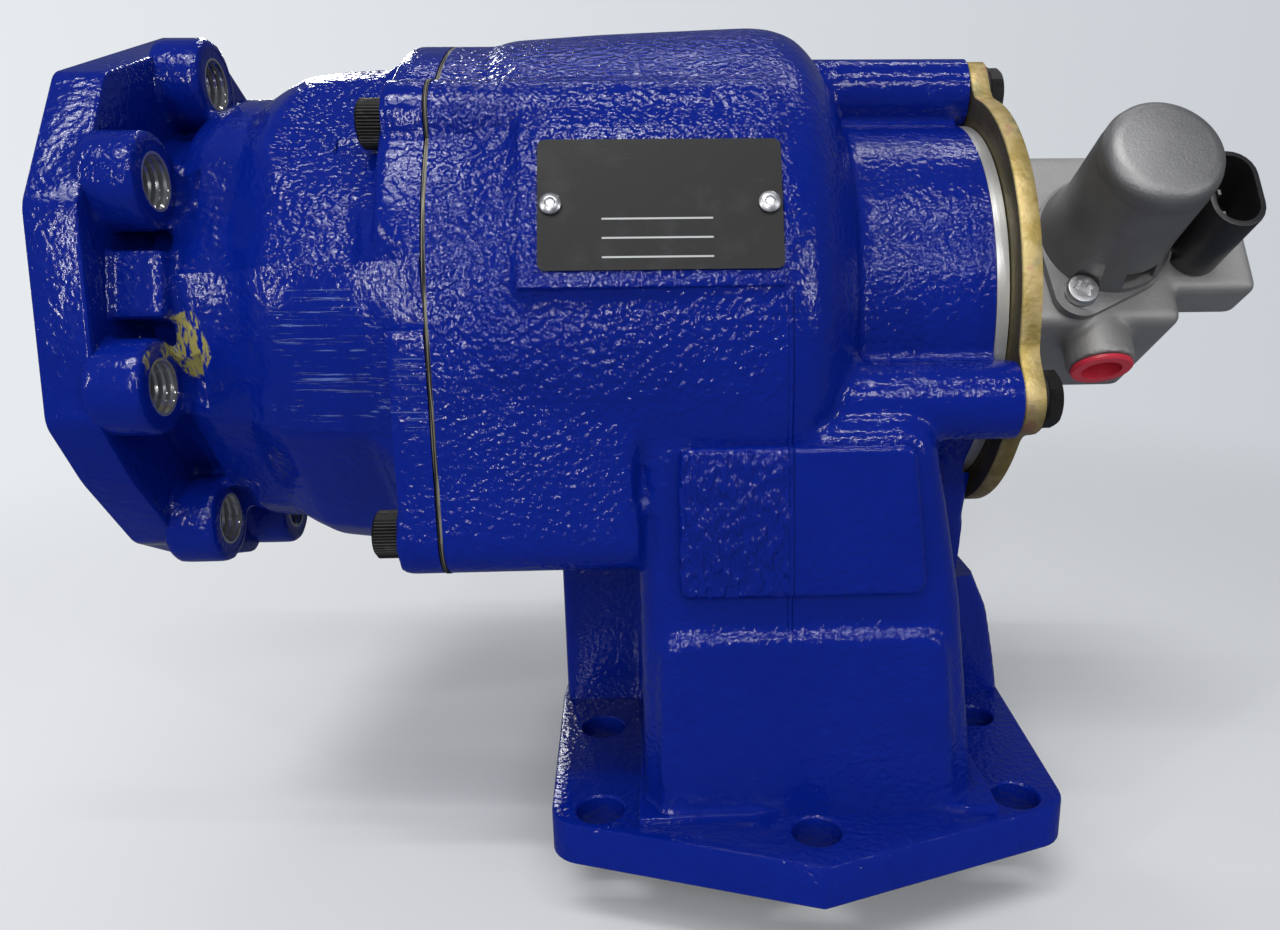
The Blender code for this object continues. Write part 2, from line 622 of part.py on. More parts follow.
def pump_flange_housing():
    frame = along_x(SHAFT)
    outline = []
    for radius, degrees in FLANGE_CORNERS:
        y, z = around((0, 0), radius * MM, degrees)
        outline.append((-z, y))
    made = plate("pump_flange_housing", [outline], (FLANGE_X, FLANGE_X + FLANGE_THICK), frame, BLUE_PAINT)
    rounded(made, 2 * MM, 2, 60)
    profile = [(0, NECK[0][0] * MM)] + [(radius * MM, x * MM) for x, radius in NECK]
    profile += [(DRUM_RADII[0], JOINT_X), (0, JOINT_X)]
    join(made, turned("neck_shape", profile, frame, sides=32))
    bolts = [around(SHAFT, PUMP_BOLT_CIRCLE / 2, PUMP_BOLT_ANGLE + 360 * step / PUMP_BOLTS)
             for step in range(PUMP_BOLTS)]
    for number, centre in enumerate(bolts):
        ends = (FLANGE_X + FLANGE_THICK / 2, PUMP_BOSS_END_X)
        join(made, rod(f"pump_boss_{number}", PUMP_BOSS_D / 2, ends, along_x(centre), sides=12))
    for number, centre in enumerate(ear_places()):
        ends = (JOINT_X - EAR_LENGTH, JOINT_X - GAP / 2)
        join(made, rod(f"neck_ear_{number}", EAR_RADIUS, ends, along_x(centre), sides=14))
    join_ear_webs(made, (JOINT_X - EAR_LENGTH + 1 * MM, JOINT_X - GAP / 2), 0.1 * MM)
    pilot_end = FLANGE_X + PILOT_DEPTH
    ring_groove = FRONT_BEARING_X[1] + GAP
    bore = [(0, FLANGE_X - 5 * MM), (PILOT_D / 2, FLANGE_X - 5 * MM), (PILOT_D / 2, pilot_end)]
    bore += [(40 * MM, pilot_end), (40 * MM, SEAL_X[0]), (SEAL_R + GAP, SEAL_X[0])]
    bore += [(SEAL_R + GAP, SEAL_X[1] + GAP), (30 * MM, SEAL_X[1] + GAP), (30 * MM, FRONT_BEARING_X[0] - GAP)]
    bearing_r = FRONT_BEARING_R[1] + GAP
    bore += [(bearing_r, FRONT_BEARING_X[0] - GAP), (bearing_r, ring_groove), (bearing_r + 2 * MM, ring_groove)]
    bore += [(bearing_r + 2 * MM, ring_groove + 2.4 * MM), (bearing_r, ring_groove + 2.4 * MM)]
    bore += [(bearing_r, JOINT_X - 12.6 * MM), (CLUTCH_BORE_R - 5.3 * MM, JOINT_X - 8.6 * MM)]
    bore += [(CLUTCH_BORE_R - 5.3 * MM, JOINT_X + 5 * MM), (0, JOINT_X + 5 * MM)]
    cut(made, turned("neck_bore", bore, frame, sides=28))
    for number, centre in enumerate(bolts):
        ends = (FLANGE_X - 5 * MM, PUMP_BOSS_END_X + 5 * MM)
        cut(made, hole(f"pump_hole_{number}", PUMP_BOLT_D / 2, ends, along_x(centre)))
    for number, centre in enumerate(ear_places()):
        ends = (JOINT_X - EAR_LENGTH - 12 * MM, JOINT_X + 5 * MM)
        cut(made, hole(f"neck_ear_hole_{number}", JOINT_SCREW_D / 2 + GAP, ends, along_x(centre)))
        seat = (JOINT_X - EAR_LENGTH - 14 * MM, JOINT_X - EAR_LENGTH)
        cut(made, rod(f"head_room_{number}", JOINT_HEAD_D / 2 + 1 * MM, seat, along_x(centre), sides=12))
    return made


def joint_gasket():
    ends = (JOINT_X + GAP, JOINT_X + GAP + GASKET_THICK)
    radii = (CLUTCH_BORE_R, DRUM_RADII[0] - 0.3 * MM)
    made = ring("joint_gasket", radii, ends, along_x(SHAFT), GREY_GASKET, 32)
    for number, centre in enumerate(ear_places()):
        inset = (ends[0] + 0.01 * MM, ends[1] - 0.01 * MM)
        join(made, rod(f"gasket_ear_{number}", EAR_RADIUS - 0.2 * MM, inset, along_x(centre), sides=14))
    join_ear_webs(made, (ends[0] + 0.02 * MM, ends[1] - 0.02 * MM), 0.4 * MM)
    for number, centre in enumerate(ear_places()):
        around_screw = (ends[0] - 3 * MM, ends[1] + 3 * MM)
        cut(made, hole(f"gasket_hole_{number}", JOINT_SCREW_D / 2 + GAP, around_screw, along_x(centre)))
    bore = (ends[0] - 4 * MM, ends[1] + 4 * MM)
    cut(made, rod("gasket_bore", CLUTCH_BORE_R - 0.1 * MM, bore, along_x(SHAFT), sides=32))
    return made


def joint_screws():
    seat = JOINT_X - EAR_LENGTH - GAP
    for number, centre in enumerate(ear_places(), 1):
        socket_r = JOINT_SCREW_D * 0.43
        profile = [(0, seat - JOINT_HEAD_H + 4 * MM), (socket_r, seat - JOINT_HEAD_H + 4 * MM)]
        profile += [(socket_r, seat - JOINT_HEAD_H), (JOINT_HEAD_D / 2, seat - JOINT_HEAD_H)]
        profile += [(JOINT_HEAD_D / 2, seat), (JOINT_SCREW_D / 2, seat)]
        profile += [(JOINT_SCREW_D / 2, seat + JOINT_SCREW_REACH), (0, seat + JOINT_SCREW_REACH)]
        turned(f"joint_screw_{number}", profile, along_x(centre), BLACK_OXIDE, 10)


def nameplate():
    half = PLATE_HEIGHT / 2
    low = (PLATE_X[0], -half, PLATE_PAD_REACH + GAP)
    high = (PLATE_X[1], half, PLATE_PAD_REACH + GAP + PLATE_THICK)
    made = box("nameplate", low, high, BLACK_PLATE, plate_frame())
    for number, (x, y) in enumerate(drive_screw_places(), 1):
        place = plate_frame() @ Matrix.Translation((x, y, 0))
        ends = (PLATE_PAD_REACH - 2 * MM, PLATE_PAD_REACH + 5 * MM)
        cut(made, hole(f"nameplate_hole_{number}", DRIVE_SCREW_D / 2 + GAP, ends, place, sides=6))
        seat = PLATE_PAD_REACH + PLATE_THICK + 2 * GAP
        profile = [(0, seat - 4 * MM), (DRIVE_SCREW_D / 2, seat - 4 * MM), (DRIVE_SCREW_D / 2, seat)]
        profile += [(DRIVE_SCREW_HEAD_D / 2, seat), (DRIVE_SCREW_HEAD_D / 2 - 0.6 * MM, seat + 0.9 * MM)]
        profile += [(0, seat + 1.3 * MM)]
        turned(f"nameplate_screw_{number}", profile, place, STEEL, 8)


def bearing(name, radii, ends, look):
    """Ball bearing with two grooved races, and its balls held in their cage."""
    inner, outer = radii
    middle_x = (ends[0] + ends[1]) / 2
    pitch_r = (inner + outer) / 2
    ball_r = (outer - inner) * 0.3
    lip = ball_r * 0.62
    groove = ball_r + 0.2 * MM
    half = math.sqrt(groove ** 2 - lip ** 2)
    arc = [(math.sqrt(groove ** 2 - (half * s) ** 2), middle_x + half * s) for s in (-1, -0.5, 0.5, 1)]
    low, high = ends
    outside = [(outer, high), (outer, low), (pitch_r + lip, low)]
    outside += [(pitch_r + rise, x) for rise, x in arc] + [(pitch_r + lip, high)]
    inside = [(inner, high), (inner, low), (pitch_r - lip, low)]
    inside += [(pitch_r - rise, x) for rise, x in arc] + [(pitch_r - lip, high)]
    turned(f"{name}_outer_race", outside, along_x(SHAFT), look, 22)
    turned(f"{name}_inner_race", inside, along_x(SHAFT), look, 20)
    cage = ring(f"{name}_balls_and_cage", (pitch_r - 1.3 * MM, pitch_r + 1.3 * MM),
                (middle_x - ball_r - 1.5 * MM, middle_x + ball_r + 1.5 * MM), along_x(SHAFT), look, 14)
    for number in range(BALLS):
        place = Matrix.Translation((middle_x, *around(SHAFT, pitch_r, 360 * number / BALLS)))

        def fill(shape, radius=ball_r - 2 * GAP):
            bmesh.ops.create_uvsphere(shape, u_segments=6, v_segments=4, radius=radius)
        join(cage, add(f"{name}_ball_{number}", mesh_from("ball", fill, place)))


def output_shaft():
    frame = along_x(SHAFT)
    cross_x = CLUTCH_DRUM_X[0] + CLUTCH_WALL + 1 * MM
    profile = [(0, SHAFT_FRONT_X), (SHAFT_FRONT_R, SHAFT_FRONT_X), (SHAFT_FRONT_R, SHAFT_STEP_X)]
    profile += [(SHAFT_R, SHAFT_STEP_X), (SHAFT_R, SHAFT_END_X), (0, SHAFT_END_X)]
    made = turned("output_shaft", profile, frame, STEEL, 20)
    socket = toothed(*SOCKET_R, SOCKET_TEETH, 0.5, arc_points=2)
    cut(made, plate("pump_socket", [socket], (SHAFT_FRONT_X - 5 * MM, SHAFT_FRONT_X + SOCKET_DEPTH), frame))
    cut(made, hole("oil_bore", OIL_BORE_R, (cross_x - 4 * MM, SHAFT_END_X + 5 * MM), frame, sides=12))
    cross = Matrix.Translation((cross_x, *SHAFT))
    cut(made, rod("oil_cross_bore", 2 * MM, (-30 * MM, 30 * MM), cross, sides=10))
    ring("shaft_seal", (SHAFT_FRONT_R + GAP, SEAL_R), SEAL_X, frame, RUBBER, 24)
    snap = (FRONT_BEARING_X[1] + 2 * GAP, FRONT_BEARING_X[1] + 2 * GAP + 1.8 * MM)
    ring_r = (FRONT_BEARING_R[1] - 4 * MM, FRONT_BEARING_R[1] + 2 * MM)
    ring("bearing_snap_ring", ring_r, snap, frame, STEEL, 32)
    bearing("front_bearing", FRONT_BEARING_R, FRONT_BEARING_X, STEEL)
    bearing("rear_bearing", REAR_BEARING_R, REAR_BEARING_X, STEEL)
    spacer = (CLUTCH_GEAR_X[1] + GAP, REAR_BEARING_X[0] - GAP)
    ring("thrust_spacer_rear", (SHAFT_R + GAP, SHAFT_R + 6 * MM), spacer, frame, STEEL, 32)
    tube = (10 * MM, SPIGOT_X + 9 * MM)
    ring("oil_feed_tube", (1.4 * MM, OIL_BORE_R - GAP), tube, frame, STEEL, 12)


def clutch():
    frame = along_x(SHAFT)
    low, high = CLUTCH_DRUM_X
    inner, outer = CLUTCH_DRUM_R
    wall = low + CLUTCH_WALL
    drum = [(SHAFT_R + GAP, low), (outer, low), (outer, high), (inner, high), (inner, wall)]
    drum += [(CLUTCH_HUB_R, wall), (CLUTCH_HUB_R, CLUTCH_HUB_END_X), (SHAFT_R + GAP, CLUTCH_HUB_END_X)]
    made = turned("clutch_drum", drum, frame, STEEL, 40)
    piston_low = wall + GAP
    piston_high = piston_low + PISTON_THICK
    discs_low = piston_high + PISTON_STROKE + GAP
    tab_r = inner + 2 * MM
    slots = [toothed(inner - 2 * MM, tab_r + GAP, DRUM_TABS, 0.34), circle(inner - 6 * MM, 40)]
    cut(made, plate("drum_slots", slots, (discs_low - 1 * MM, high + 5 * MM), frame))
    cut(made, rod("drum_oil_hole", 2 * MM, (-30 * MM, 30 * MM),
                  Matrix.Translation((wall + 1 * MM - GAP, *SHAFT)), sides=10))
    groove_x = piston_low + PISTON_THICK / 2
    half = 1.2 * MM
    inner_r = CLUTCH_HUB_R + GAP
    outer_r = inner - GAP
    depth = 2.4 * MM
    piston = [(inner_r, piston_low + 1 * MM), (outer_r, piston_low + 1 * MM), (outer_r, groove_x - half - GAP)]
    piston += [(outer_r - depth, groove_x - half - GAP), (outer_r - depth, groove_x + half + GAP)]
    piston += [(outer_r, groove_x + half + GAP), (outer_r, piston_high), (inner_r, piston_high)]
    turned("clutch_piston", piston, frame, STEEL, 28)
    seal_ends = (groove_x - half, groove_x + half)
    ring("piston_seal", (outer_r - depth + GAP, inner - GAP), seal_ends, frame, RUBBER, 28)
    return_spring(piston_high + PISTON_STROKE + GAP)
    disc_pack(discs_low, tab_r)


def disc_pack(start, tab_r):
    frame = along_x(SHAFT)
    inner = CLUTCH_DRUM_R[0]
    spline_low, spline_high = SLEEVE_R[1] + GAP, SLEEVE_R[1] + SLEEVE_TOOTH + GAP
    steel = [toothed(inner - GAP, tab_r, DRUM_TABS, 0.3), circle(spline_high + 1 * MM, 20)]
    inner_teeth = toothed(spline_low, spline_high, SLEEVE_TEETH, 0.52, arc_points=2)
    friction = [circle(inner - 2 * MM, 28), inner_teeth]
    x = start
    for number in range(1, DISC_PAIRS + 1):
        plate(f"steel_disc_{number}", steel, (x, x + STEEL_DISC), frame, STEEL)
        x += STEEL_DISC + GAP
        plate(f"friction_disc_{number}", friction, (x, x + FRICTION_DISC), frame, FRICTION_PAPER)
        x += FRICTION_DISC + GAP
    plate("backing_plate", steel, (x, x + BACKING_PLATE), frame, STEEL)
    x += BACKING_PLATE + GAP
    ring("drum_snap_ring", (inner - 5 * MM, tab_r), (x, x + 1.7 * MM), frame, STEEL, 28)
    groove = ring("snap_groove", (inner - 3 * MM, tab_r + GAP), (x - GAP, x + 1.7 * MM + GAP), frame, sides=40)
    cut(bpy.data.objects["clutch_drum"], groove)


def return_spring(start):
    end = CLUTCH_HUB_END_X - 3.2 * MM
    low = start + SPRING_WIRE_R
    high = end - SPRING_WIRE_R - GAP
    curve = bpy.data.curves.new("piston_return_spring", "CURVE")
    curve.dimensions = "3D"
    curve.bevel_depth = SPRING_WIRE_R
    curve.bevel_resolution = 1
    curve.use_fill_caps = True
    steps = SPRING_TURNS * 9
    line = curve.splines.new("POLY")
    line.points.add(steps)
    for step, point in enumerate(line.points):
        angle = 2 * math.pi * SPRING_TURNS * step / steps
        y, z = SPRING_R * math.cos(angle), SPRING_R * math.sin(angle)
        point.co = (low + (high - low) * step / steps, SHAFT_Y + y, SHAFT_Z + z, 1)
    curve.materials.append(STEEL)
    parts.objects.link(bpy.data.objects.new("piston_return_spring", curve))
    seat_r = (CLUTCH_HUB_R - 1.2 * MM, SPRING_R + 3 * MM)
    ring("spring_retainer", seat_r, (end, end + 1.5 * MM), along_x(SHAFT), STEEL, 32)
    groove = ring("retainer_groove", (CLUTCH_HUB_R - 1.5 * MM, CLUTCH_HUB_R + 3 * MM),
                  (end - GAP, end + 1.5 * MM + GAP), along_x(SHAFT), sides=28)
    cut(bpy.data.objects["clutch_drum"], groove)


def gears():
    shaft_frame = along_x(SHAFT)
    idler_frame = along_x(IDLER)
    towards = frame_angle(SHAFT_Y - IDLER_Y, SHAFT_Z - IDLER_Z)
    clutch_phase = towards + math.pi + math.pi / CLUTCH_TEETH
    outline = [gear_outline(CLUTCH_TEETH, clutch_phase), circle(GEAR_BORE_R, 24)]
    gear = plate("clutch_gear", outline, CLUTCH_GEAR_X, shaft_frame, STEEL)
    pack_start = CLUTCH_DRUM_X[0] + CLUTCH_WALL + PISTON_THICK + PISTON_STROKE
    sleeve_x = (pack_start + 1.6 * MM, CLUTCH_GEAR_X[0] + 2 * MM)
    sleeve = toothed(SLEEVE_R[1], SLEEVE_R[1] + SLEEVE_TOOTH, SLEEVE_TEETH, 0.44, arc_points=2)
    join(gear, plate("gear_sleeve", [sleeve, circle(SLEEVE_R[0], 20)], sleeve_x, shaft_frame))
    ring("gear_bushing", (SHAFT_R + GAP, GEAR_BORE_R - GAP), CLUTCH_GEAR_X, shaft_frame, BRONZE, 24)
    spacer = (CLUTCH_HUB_END_X + GAP, CLUTCH_GEAR_X[0] - GAP)
    ring("thrust_spacer_front", (SHAFT_R + GAP, CLUTCH_HUB_R + 3 * MM), spacer, shaft_frame, STEEL, 20)
    gear_bore = IDLER_R + 2 * ROLLER_R + 0.8 * MM
    ratio = [gear_outline(RATIO_TEETH, towards), circle(gear_bore, 18)]
    plate("ratio_gear", ratio, RATIO_GEAR_X, idler_frame, STEEL)
    plate("input_gear", [gear_outline(INPUT_TEETH, towards), circle(gear_bore, 18)], INPUT_GEAR_X,
          idler_frame, STEEL)
    idler_shaft(gear_bore)


def idler_shaft(gear_bore):
    frame = along_x(IDLER)
    low, high = IDLER_SHAFT_X
    chamfer = 1 * MM
    profile = [(0, low), (IDLER_R - chamfer, low), (IDLER_R, low + chamfer), (IDLER_R, high - chamfer)]
    profile += [(IDLER_R - chamfer, high), (0, high)]
    turned("idler_shaft", profile, frame, STEEL, 16)
    roller_ends = (RATIO_GEAR_X[0] + 1 * MM, INPUT_GEAR_X[1] - 1 * MM)
    circle_r = (IDLER_R + gear_bore) / 2
    cage_r = (circle_r - 0.6 * MM, circle_r + 0.6 * MM)
    cage = ring("idler_needle_bearing", cage_r, roller_ends, frame, STEEL, 20)
    inset = 1 * MM
    for number in range(ROLLERS):
        centre = around(IDLER, circle_r, 360 * number / ROLLERS)
        ends = (roller_ends[0] + inset, roller_ends[1] - inset)
        join(cage, rod(f"roller_{number}", ROLLER_R, ends, along_x(centre), sides=6))
    radii = (IDLER_R + GAP, IDLER_R + 11 * MM)
    left = (RATIO_GEAR_X[0] - GAP - WASHER_THICK, RATIO_GEAR_X[0] - GAP)
    right = (INPUT_GEAR_X[1] + GAP, INPUT_GEAR_X[1] + GAP + WASHER_THICK)
    ring("thrust_washer_left", radii, left, frame, BRONZE, 16)
    ring("thrust_washer_right", radii, right, frame, BRONZE, 16)


def valve_frame():
    """Frame of the valve: X along the part, Y across (t) and Z towards the can (v)."""
    out = Vector((0, -math.cos(VALVE_CLOCK), math.sin(VALVE_CLOCK)))
    along = Vector((1, 0, 0))
    frame = Matrix((along, out.cross(along), out)).transposed().to_4x4()
    return Matrix.Translation((0, *SHAFT)) @ frame


def can_frame():
    return valve_frame() @ Matrix.Translation((CAN_X, CAN_T, 0))


def port_frame():
    """Frame whose Z runs out of the oil port."""
    return valve_frame() @ Matrix.Translation((PORT_X, 0, PORT_V)) @ Matrix.Rotation(math.pi / 2, 4, "X")


def valve_block():
    frame = along_x(SHAFT)
    valve = valve_frame()
    profile = [(0, SPIGOT_X), (SPIGOT_R, SPIGOT_X), (SPIGOT_R, SPIGOT_X + 3 * MM)]
    profile += [(SPIGOT_R - 3 * MM, SPIGOT_X + 3 * MM), (SPIGOT_R - 3 * MM, SPIGOT_X + 6.6 * MM)]
    profile += [(SPIGOT_R, SPIGOT_X + 6.6 * MM)]
    profile += [(SPIGOT_R, CASE_END_X + GAP), (VALVE_FLANGE_R, CASE_END_X + GAP)]
    hub_r = CLAMP_PLATE_HOLE_R - GAP
    profile += [(VALVE_FLANGE_R, CLAMP_PLATE_X[0] - GAP), (hub_r, CLAMP_PLATE_X[0] - GAP)]
    profile += [(hub_r, CLAMP_PLATE_X[1] + 1 * MM), (0, CLAMP_PLATE_X[1] + 1 * MM)]
    made = turned("valve_block", profile, frame, CAST_ALUMINIUM, 30)
    low_corner = (CLAMP_PLATE_X[1] + GAP, BLOCK_T[0], BLOCK_V[0])
    body = box("block_shape", low_corner, (BLOCK_X, BLOCK_T[1], BLOCK_V[1]), matrix=valve)
    low_corner = (BLOCK_X - 9 * MM, WING_T[0], WING_V[0])
    wing = box("wing_shape", low_corner, (WING_X, WING_T[1], WING_V[1] - 0.1 * MM), matrix=valve)
    boss = rod("port_boss", PORT_BOSS_R, (-BLOCK_T[0] - 6 * MM, -PORT_FACE_T), port_frame(), sides=16)
    ear = rod("screw_ear", 6.5 * MM, (10 * MM, BLOCK_V[1] - 0.05 * MM),
              valve @ Matrix.Translation((CAN_SCREW_X, CAN_SCREW_T, 0)), sides=24)
    join(made, rounded(body, 3 * MM, 1), rounded(wing, 2.5 * MM, 1), boss, ear)
    depth = (-PORT_FACE_T - PLUG_DEPTH - 1 * MM, -PORT_FACE_T + 5 * MM)
    port = hole("port_bore", PORT_D / 2, depth, port_frame(), sides=24)
    depth = (BLOCK_V[0] + 3 * MM, BLOCK_V[1] + 5 * MM)
    spool_bore = hole("spool_bore", SPOOL_R + GAP, depth, can_frame(), sides=24)
    screw_hole = hole("can_screw_hole", CAN_SCREW_D / 2 + GAP, (BLOCK_V[1] - 10 * MM, BLOCK_V[1] + 5 * MM),
                     valve @ Matrix.Translation((CAN_SCREW_X, CAN_SCREW_T, 0)), sides=16)
    depth = (SPIGOT_X - 5 * MM, SPIGOT_X + 9 * MM + GAP)
    tube_hole = hole("tube_hole", OIL_BORE_R, depth, frame, sides=16)
    plug_seat = rod("plug_seat", 6 * MM, (WING_V[1] - 3 * MM, WING_V[1] + 5 * MM),
                    valve @ Matrix.Translation((PLUG_BODY_X, PLUG_BODY_T, 0)), sides=24)
    cut(made, port, spool_bore, screw_hole, tube_hole, plug_seat)
    groove_low = SPIGOT_X + 3 * MM + GAP
    seal_ends = (groove_low, groove_low + 3 * MM)
    ring("cover_seal", (SPIGOT_R - 3 * MM + GAP, SPIGOT_R), seal_ends, frame, RUBBER, 32)
    return made


def solenoid():
    frame = can_frame()
    base = BLOCK_V[1] + GAP
    inner_r = CAN_R - 1.5 * MM
    top = CAN_TOP_V
    profile = [(SPOOL_R + 2 * MM, base), (CAN_FOOT_R, base), (CAN_FOOT_R, base + CAN_FOOT_H - 1 * MM)]
    profile += [(CAN_FOOT_R - 1 * MM, base + CAN_FOOT_H), (CAN_R, base + CAN_FOOT_H), (CAN_R, base + 10 * MM)]
    profile += [(CAN_CAP_R, base + 12 * MM), (CAN_CAP_R, top - 4 * MM), (CAN_CAP_R - 1.3 * MM, top - 1.2 * MM)]
    room_r = CAN_CAP_R - 1.5 * MM
    profile += [(CAN_CAP_R - 4 * MM, top), (0, top), (0, top - 2 * MM), (room_r, top - 5 * MM)]
    profile += [(room_r, base + CAN_FOOT_H), (SPOOL_R + 2 * MM, base + CAN_FOOT_H)]
    made = turned("solenoid_can", profile, frame, CAN_METAL, 20)
    valve = valve_frame()
    ear_place = valve @ Matrix.Translation((CAN_SCREW_X, CAN_SCREW_T, 0))
    ear = rod("can_ear", 6 * MM, (base + 0.02 * MM, base + CAN_FOOT_H - 1.5 * MM), ear_place, sides=24)
    join(made, ear)
    ear_top = base + CAN_FOOT_H - 1.5 * MM
    cut(made, hole("can_ear_hole", CAN_SCREW_D / 2 + GAP, (base - 3 * MM, base + 12 * MM), ear_place, sides=16))
    head_r = 4.6 * MM
    cut(made, rod("can_screw_room", head_r + GAP, (ear_top, base + 12 * MM), ear_place, sides=24))
    seat = ear_top + GAP
    screw = [(0, seat - 11 * MM), (CAN_SCREW_D / 2, seat - 11 * MM), (CAN_SCREW_D / 2, seat), (head_r, seat)]
    screw += [(head_r, seat + 1.6 * MM), (head_r - 1 * MM, seat + 2.2 * MM), (0, seat + 2.2 * MM)]
    turned("solenoid_screw", screw, ear_place, STEEL, 10)
    coil_x = (base + CAN_FOOT_H + GAP, top - 10 * MM)
    ring("solenoid_coil", (SPOOL_R + 2.2 * MM, room_r - GAP), coil_x, frame, COPPER, 16)
    plunger = [(0, SPOOL_TOP_V + GAP), (SPOOL_R, SPOOL_TOP_V + GAP)]
    plunger += [(SPOOL_R, PLUNGER_TOP_V), (0, PLUNGER_TOP_V)]
    turned("solenoid_plunger", plunger, frame, STEEL, 12)
    valve_spool(frame)


def valve_spool(frame):
    land = SPOOL_R - GAP / 2
    waist = 3 * MM
    low, high = SPOOL_BOTTOM_V, SPOOL_TOP_V
    fifth = (high - low) / 5
    spool = [(0, low), (land, low), (land, low + fifth), (waist, low + fifth), (waist, low + 2 * fifth)]
    spool += [(land, low + 2 * fifth), (land, low + 3 * fifth), (waist, low + 3 * fifth)]
    spool += [(waist, low + 4 * fifth), (land, low + 4 * fifth), (land, high), (0, high)]
    turned("valve_spool", spool, frame, STEEL, 12)
    floor = BLOCK_V[0] + 3 * MM + GAP
    top = low - SPOOL_STROKE - GAP
    curve = bpy.data.curves.new("spool_spring", "CURVE")
    curve.dimensions = "3D"
    wire = 0.5 * MM
    curve.bevel_depth = wire
    curve.bevel_resolution = 1
    curve.use_fill_caps = True
    turns = 3
    steps = turns * 8
    line = curve.splines.new("POLY")
    line.points.add(steps)
    for step, point in enumerate(line.points):
        angle = 2 * math.pi * turns * step / steps
        height = floor + wire + (top - floor - 2 * wire) * step / steps
        place = frame @ Vector((3.6 * MM * math.cos(angle), 3.6 * MM * math.sin(angle), height))
        point.co = (*place, 1)
    curve.materials.append(STEEL)
    parts.objects.link(bpy.data.objects.new("spool_spring", curve))


def connector():
    valve = valve_frame()
    half_x, half_t = PLUG_BODY_HALF
    straight = half_t - half_x

    def oval(margin):
        radius = half_x - margin
        upper = [(radius * math.cos(a), straight + radius * math.sin(a))
                 for a in (math.radians(30 * step) for step in range(7))]
        return upper + [(-x, -y) for x, y in upper]
    place = valve @ Matrix.Translation((PLUG_BODY_X, PLUG_BODY_T, 0))
    base = WING_V[1] + GAP
    made = plate("connector_shroud", [oval(0)], (base, PLUG_BODY_TOP_V), place, BLACK_PLASTIC)
    floor = PLUG_BODY_TOP_V - 17 * MM
    cut(made, plate("shroud_socket", [oval(1.6 * MM)], (floor, PLUG_BODY_TOP_V + 5 * MM), place))
    for number, t in enumerate((-3.5 * MM, 3.5 * MM), 1):
        room = ((-0.7 * MM, t - 1.1 * MM, base + 4 * MM), (0.7 * MM, t + 1.1 * MM, floor + 3 * MM))
        cut(made, box(f"pin_hole_{number}", *room, matrix=place))
        pin = ((-0.4 * MM, t - 0.8 * MM, base + 4 * MM + GAP), (0.4 * MM, t + 0.8 * MM, floor + 10 * MM))
        box(f"connector_pin_{number}", *pin, STEEL, place)


def port_plug():
    frame = port_frame()
    face = -PORT_FACE_T
    rim_r = PORT_D / 2 + 1.6 * MM
    plug_r = PORT_D / 2 - GAP
    profile = [(0, face - 4 * MM), (plug_r - 1.4 * MM, face - 4 * MM), (plug_r - 1.4 * MM, face + 1.6 * MM)]
    profile += [(rim_r, face + 1.6 * MM), (rim_r, face + GAP), (plug_r, face + GAP)]
    profile += [(plug_r, face - PLUG_DEPTH), (0, face - PLUG_DEPTH)]
    turned("port_plug", profile, frame, RED_PLASTIC, 16)


def clamp_plate():
    ends = CLAMP_PLATE_X
    frame = along_x(SHAFT)
    made = ring("clamp_plate", (CLAMP_PLATE_HOLE_R, CLAMP_PLATE_R), ends, frame, YELLOW_ZINC, 32)
    inset = 0.02 * MM
    for number, centre in enumerate(cover_bolt_places()):
        lug_ends = (ends[0] + inset, ends[1] - inset)
        join(made, rod(f"lug_{number}", COVER_BOSS_R - 0.5 * MM, lug_ends, along_x(centre), sides=14))
    around_it = (ends[0] - 5 * MM, ends[1] + 5 * MM)
    cut(made, rod("plate_bore", CLAMP_PLATE_HOLE_R + inset, around_it, frame, sides=32))
    for number, centre in enumerate(cover_bolt_places()):
        cut(made, hole(f"lug_hole_{number}", COVER_BOLT_D / 2 + GAP, around_it, along_x(centre)))
    head_r = COVER_HEAD_ACROSS / math.sqrt(3)
    seat = ends[1] + GAP
    for number, centre in enumerate(cover_bolt_places(), 1):
        place = along_x(centre)
        bolt = rod(f"cover_bolt_{number}", head_r, (seat, seat + COVER_HEAD_H), place, BLACK_OXIDE, 6)
        shank = (seat - 24 * MM, seat + 1 * MM)
        join(bolt, rod(f"cover_shank_{number}", COVER_BOLT_D / 2, shank, place, sides=16))


def turn_about(centre, *names):
    """Put the origin of moving pieces on the axis that they turn about."""
    place = Matrix.Translation((0, *centre))
    for name in names:
        made = bpy.data.objects[name]
        made.data.transform(place.inverted())
        made.matrix_world = place


main_housing()
pump_flange_housing()
joint_gasket()
joint_screws()
nameplate()
output_shaft()
clutch()
gears()
valve_block()
solenoid()
connector()
port_plug()
clamp_plate()
turn_about(SHAFT, "clutch_gear", "backing_plate", "piston_return_spring")
for disc in range(1, DISC_PAIRS + 1):
    turn_about(SHAFT, f"steel_disc_{disc}", f"friction_disc_{disc}")
turn_about(IDLER, "ratio_gear", "input_gear")
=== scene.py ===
import json
import math

import bpy
from mathutils import Matrix, Vector

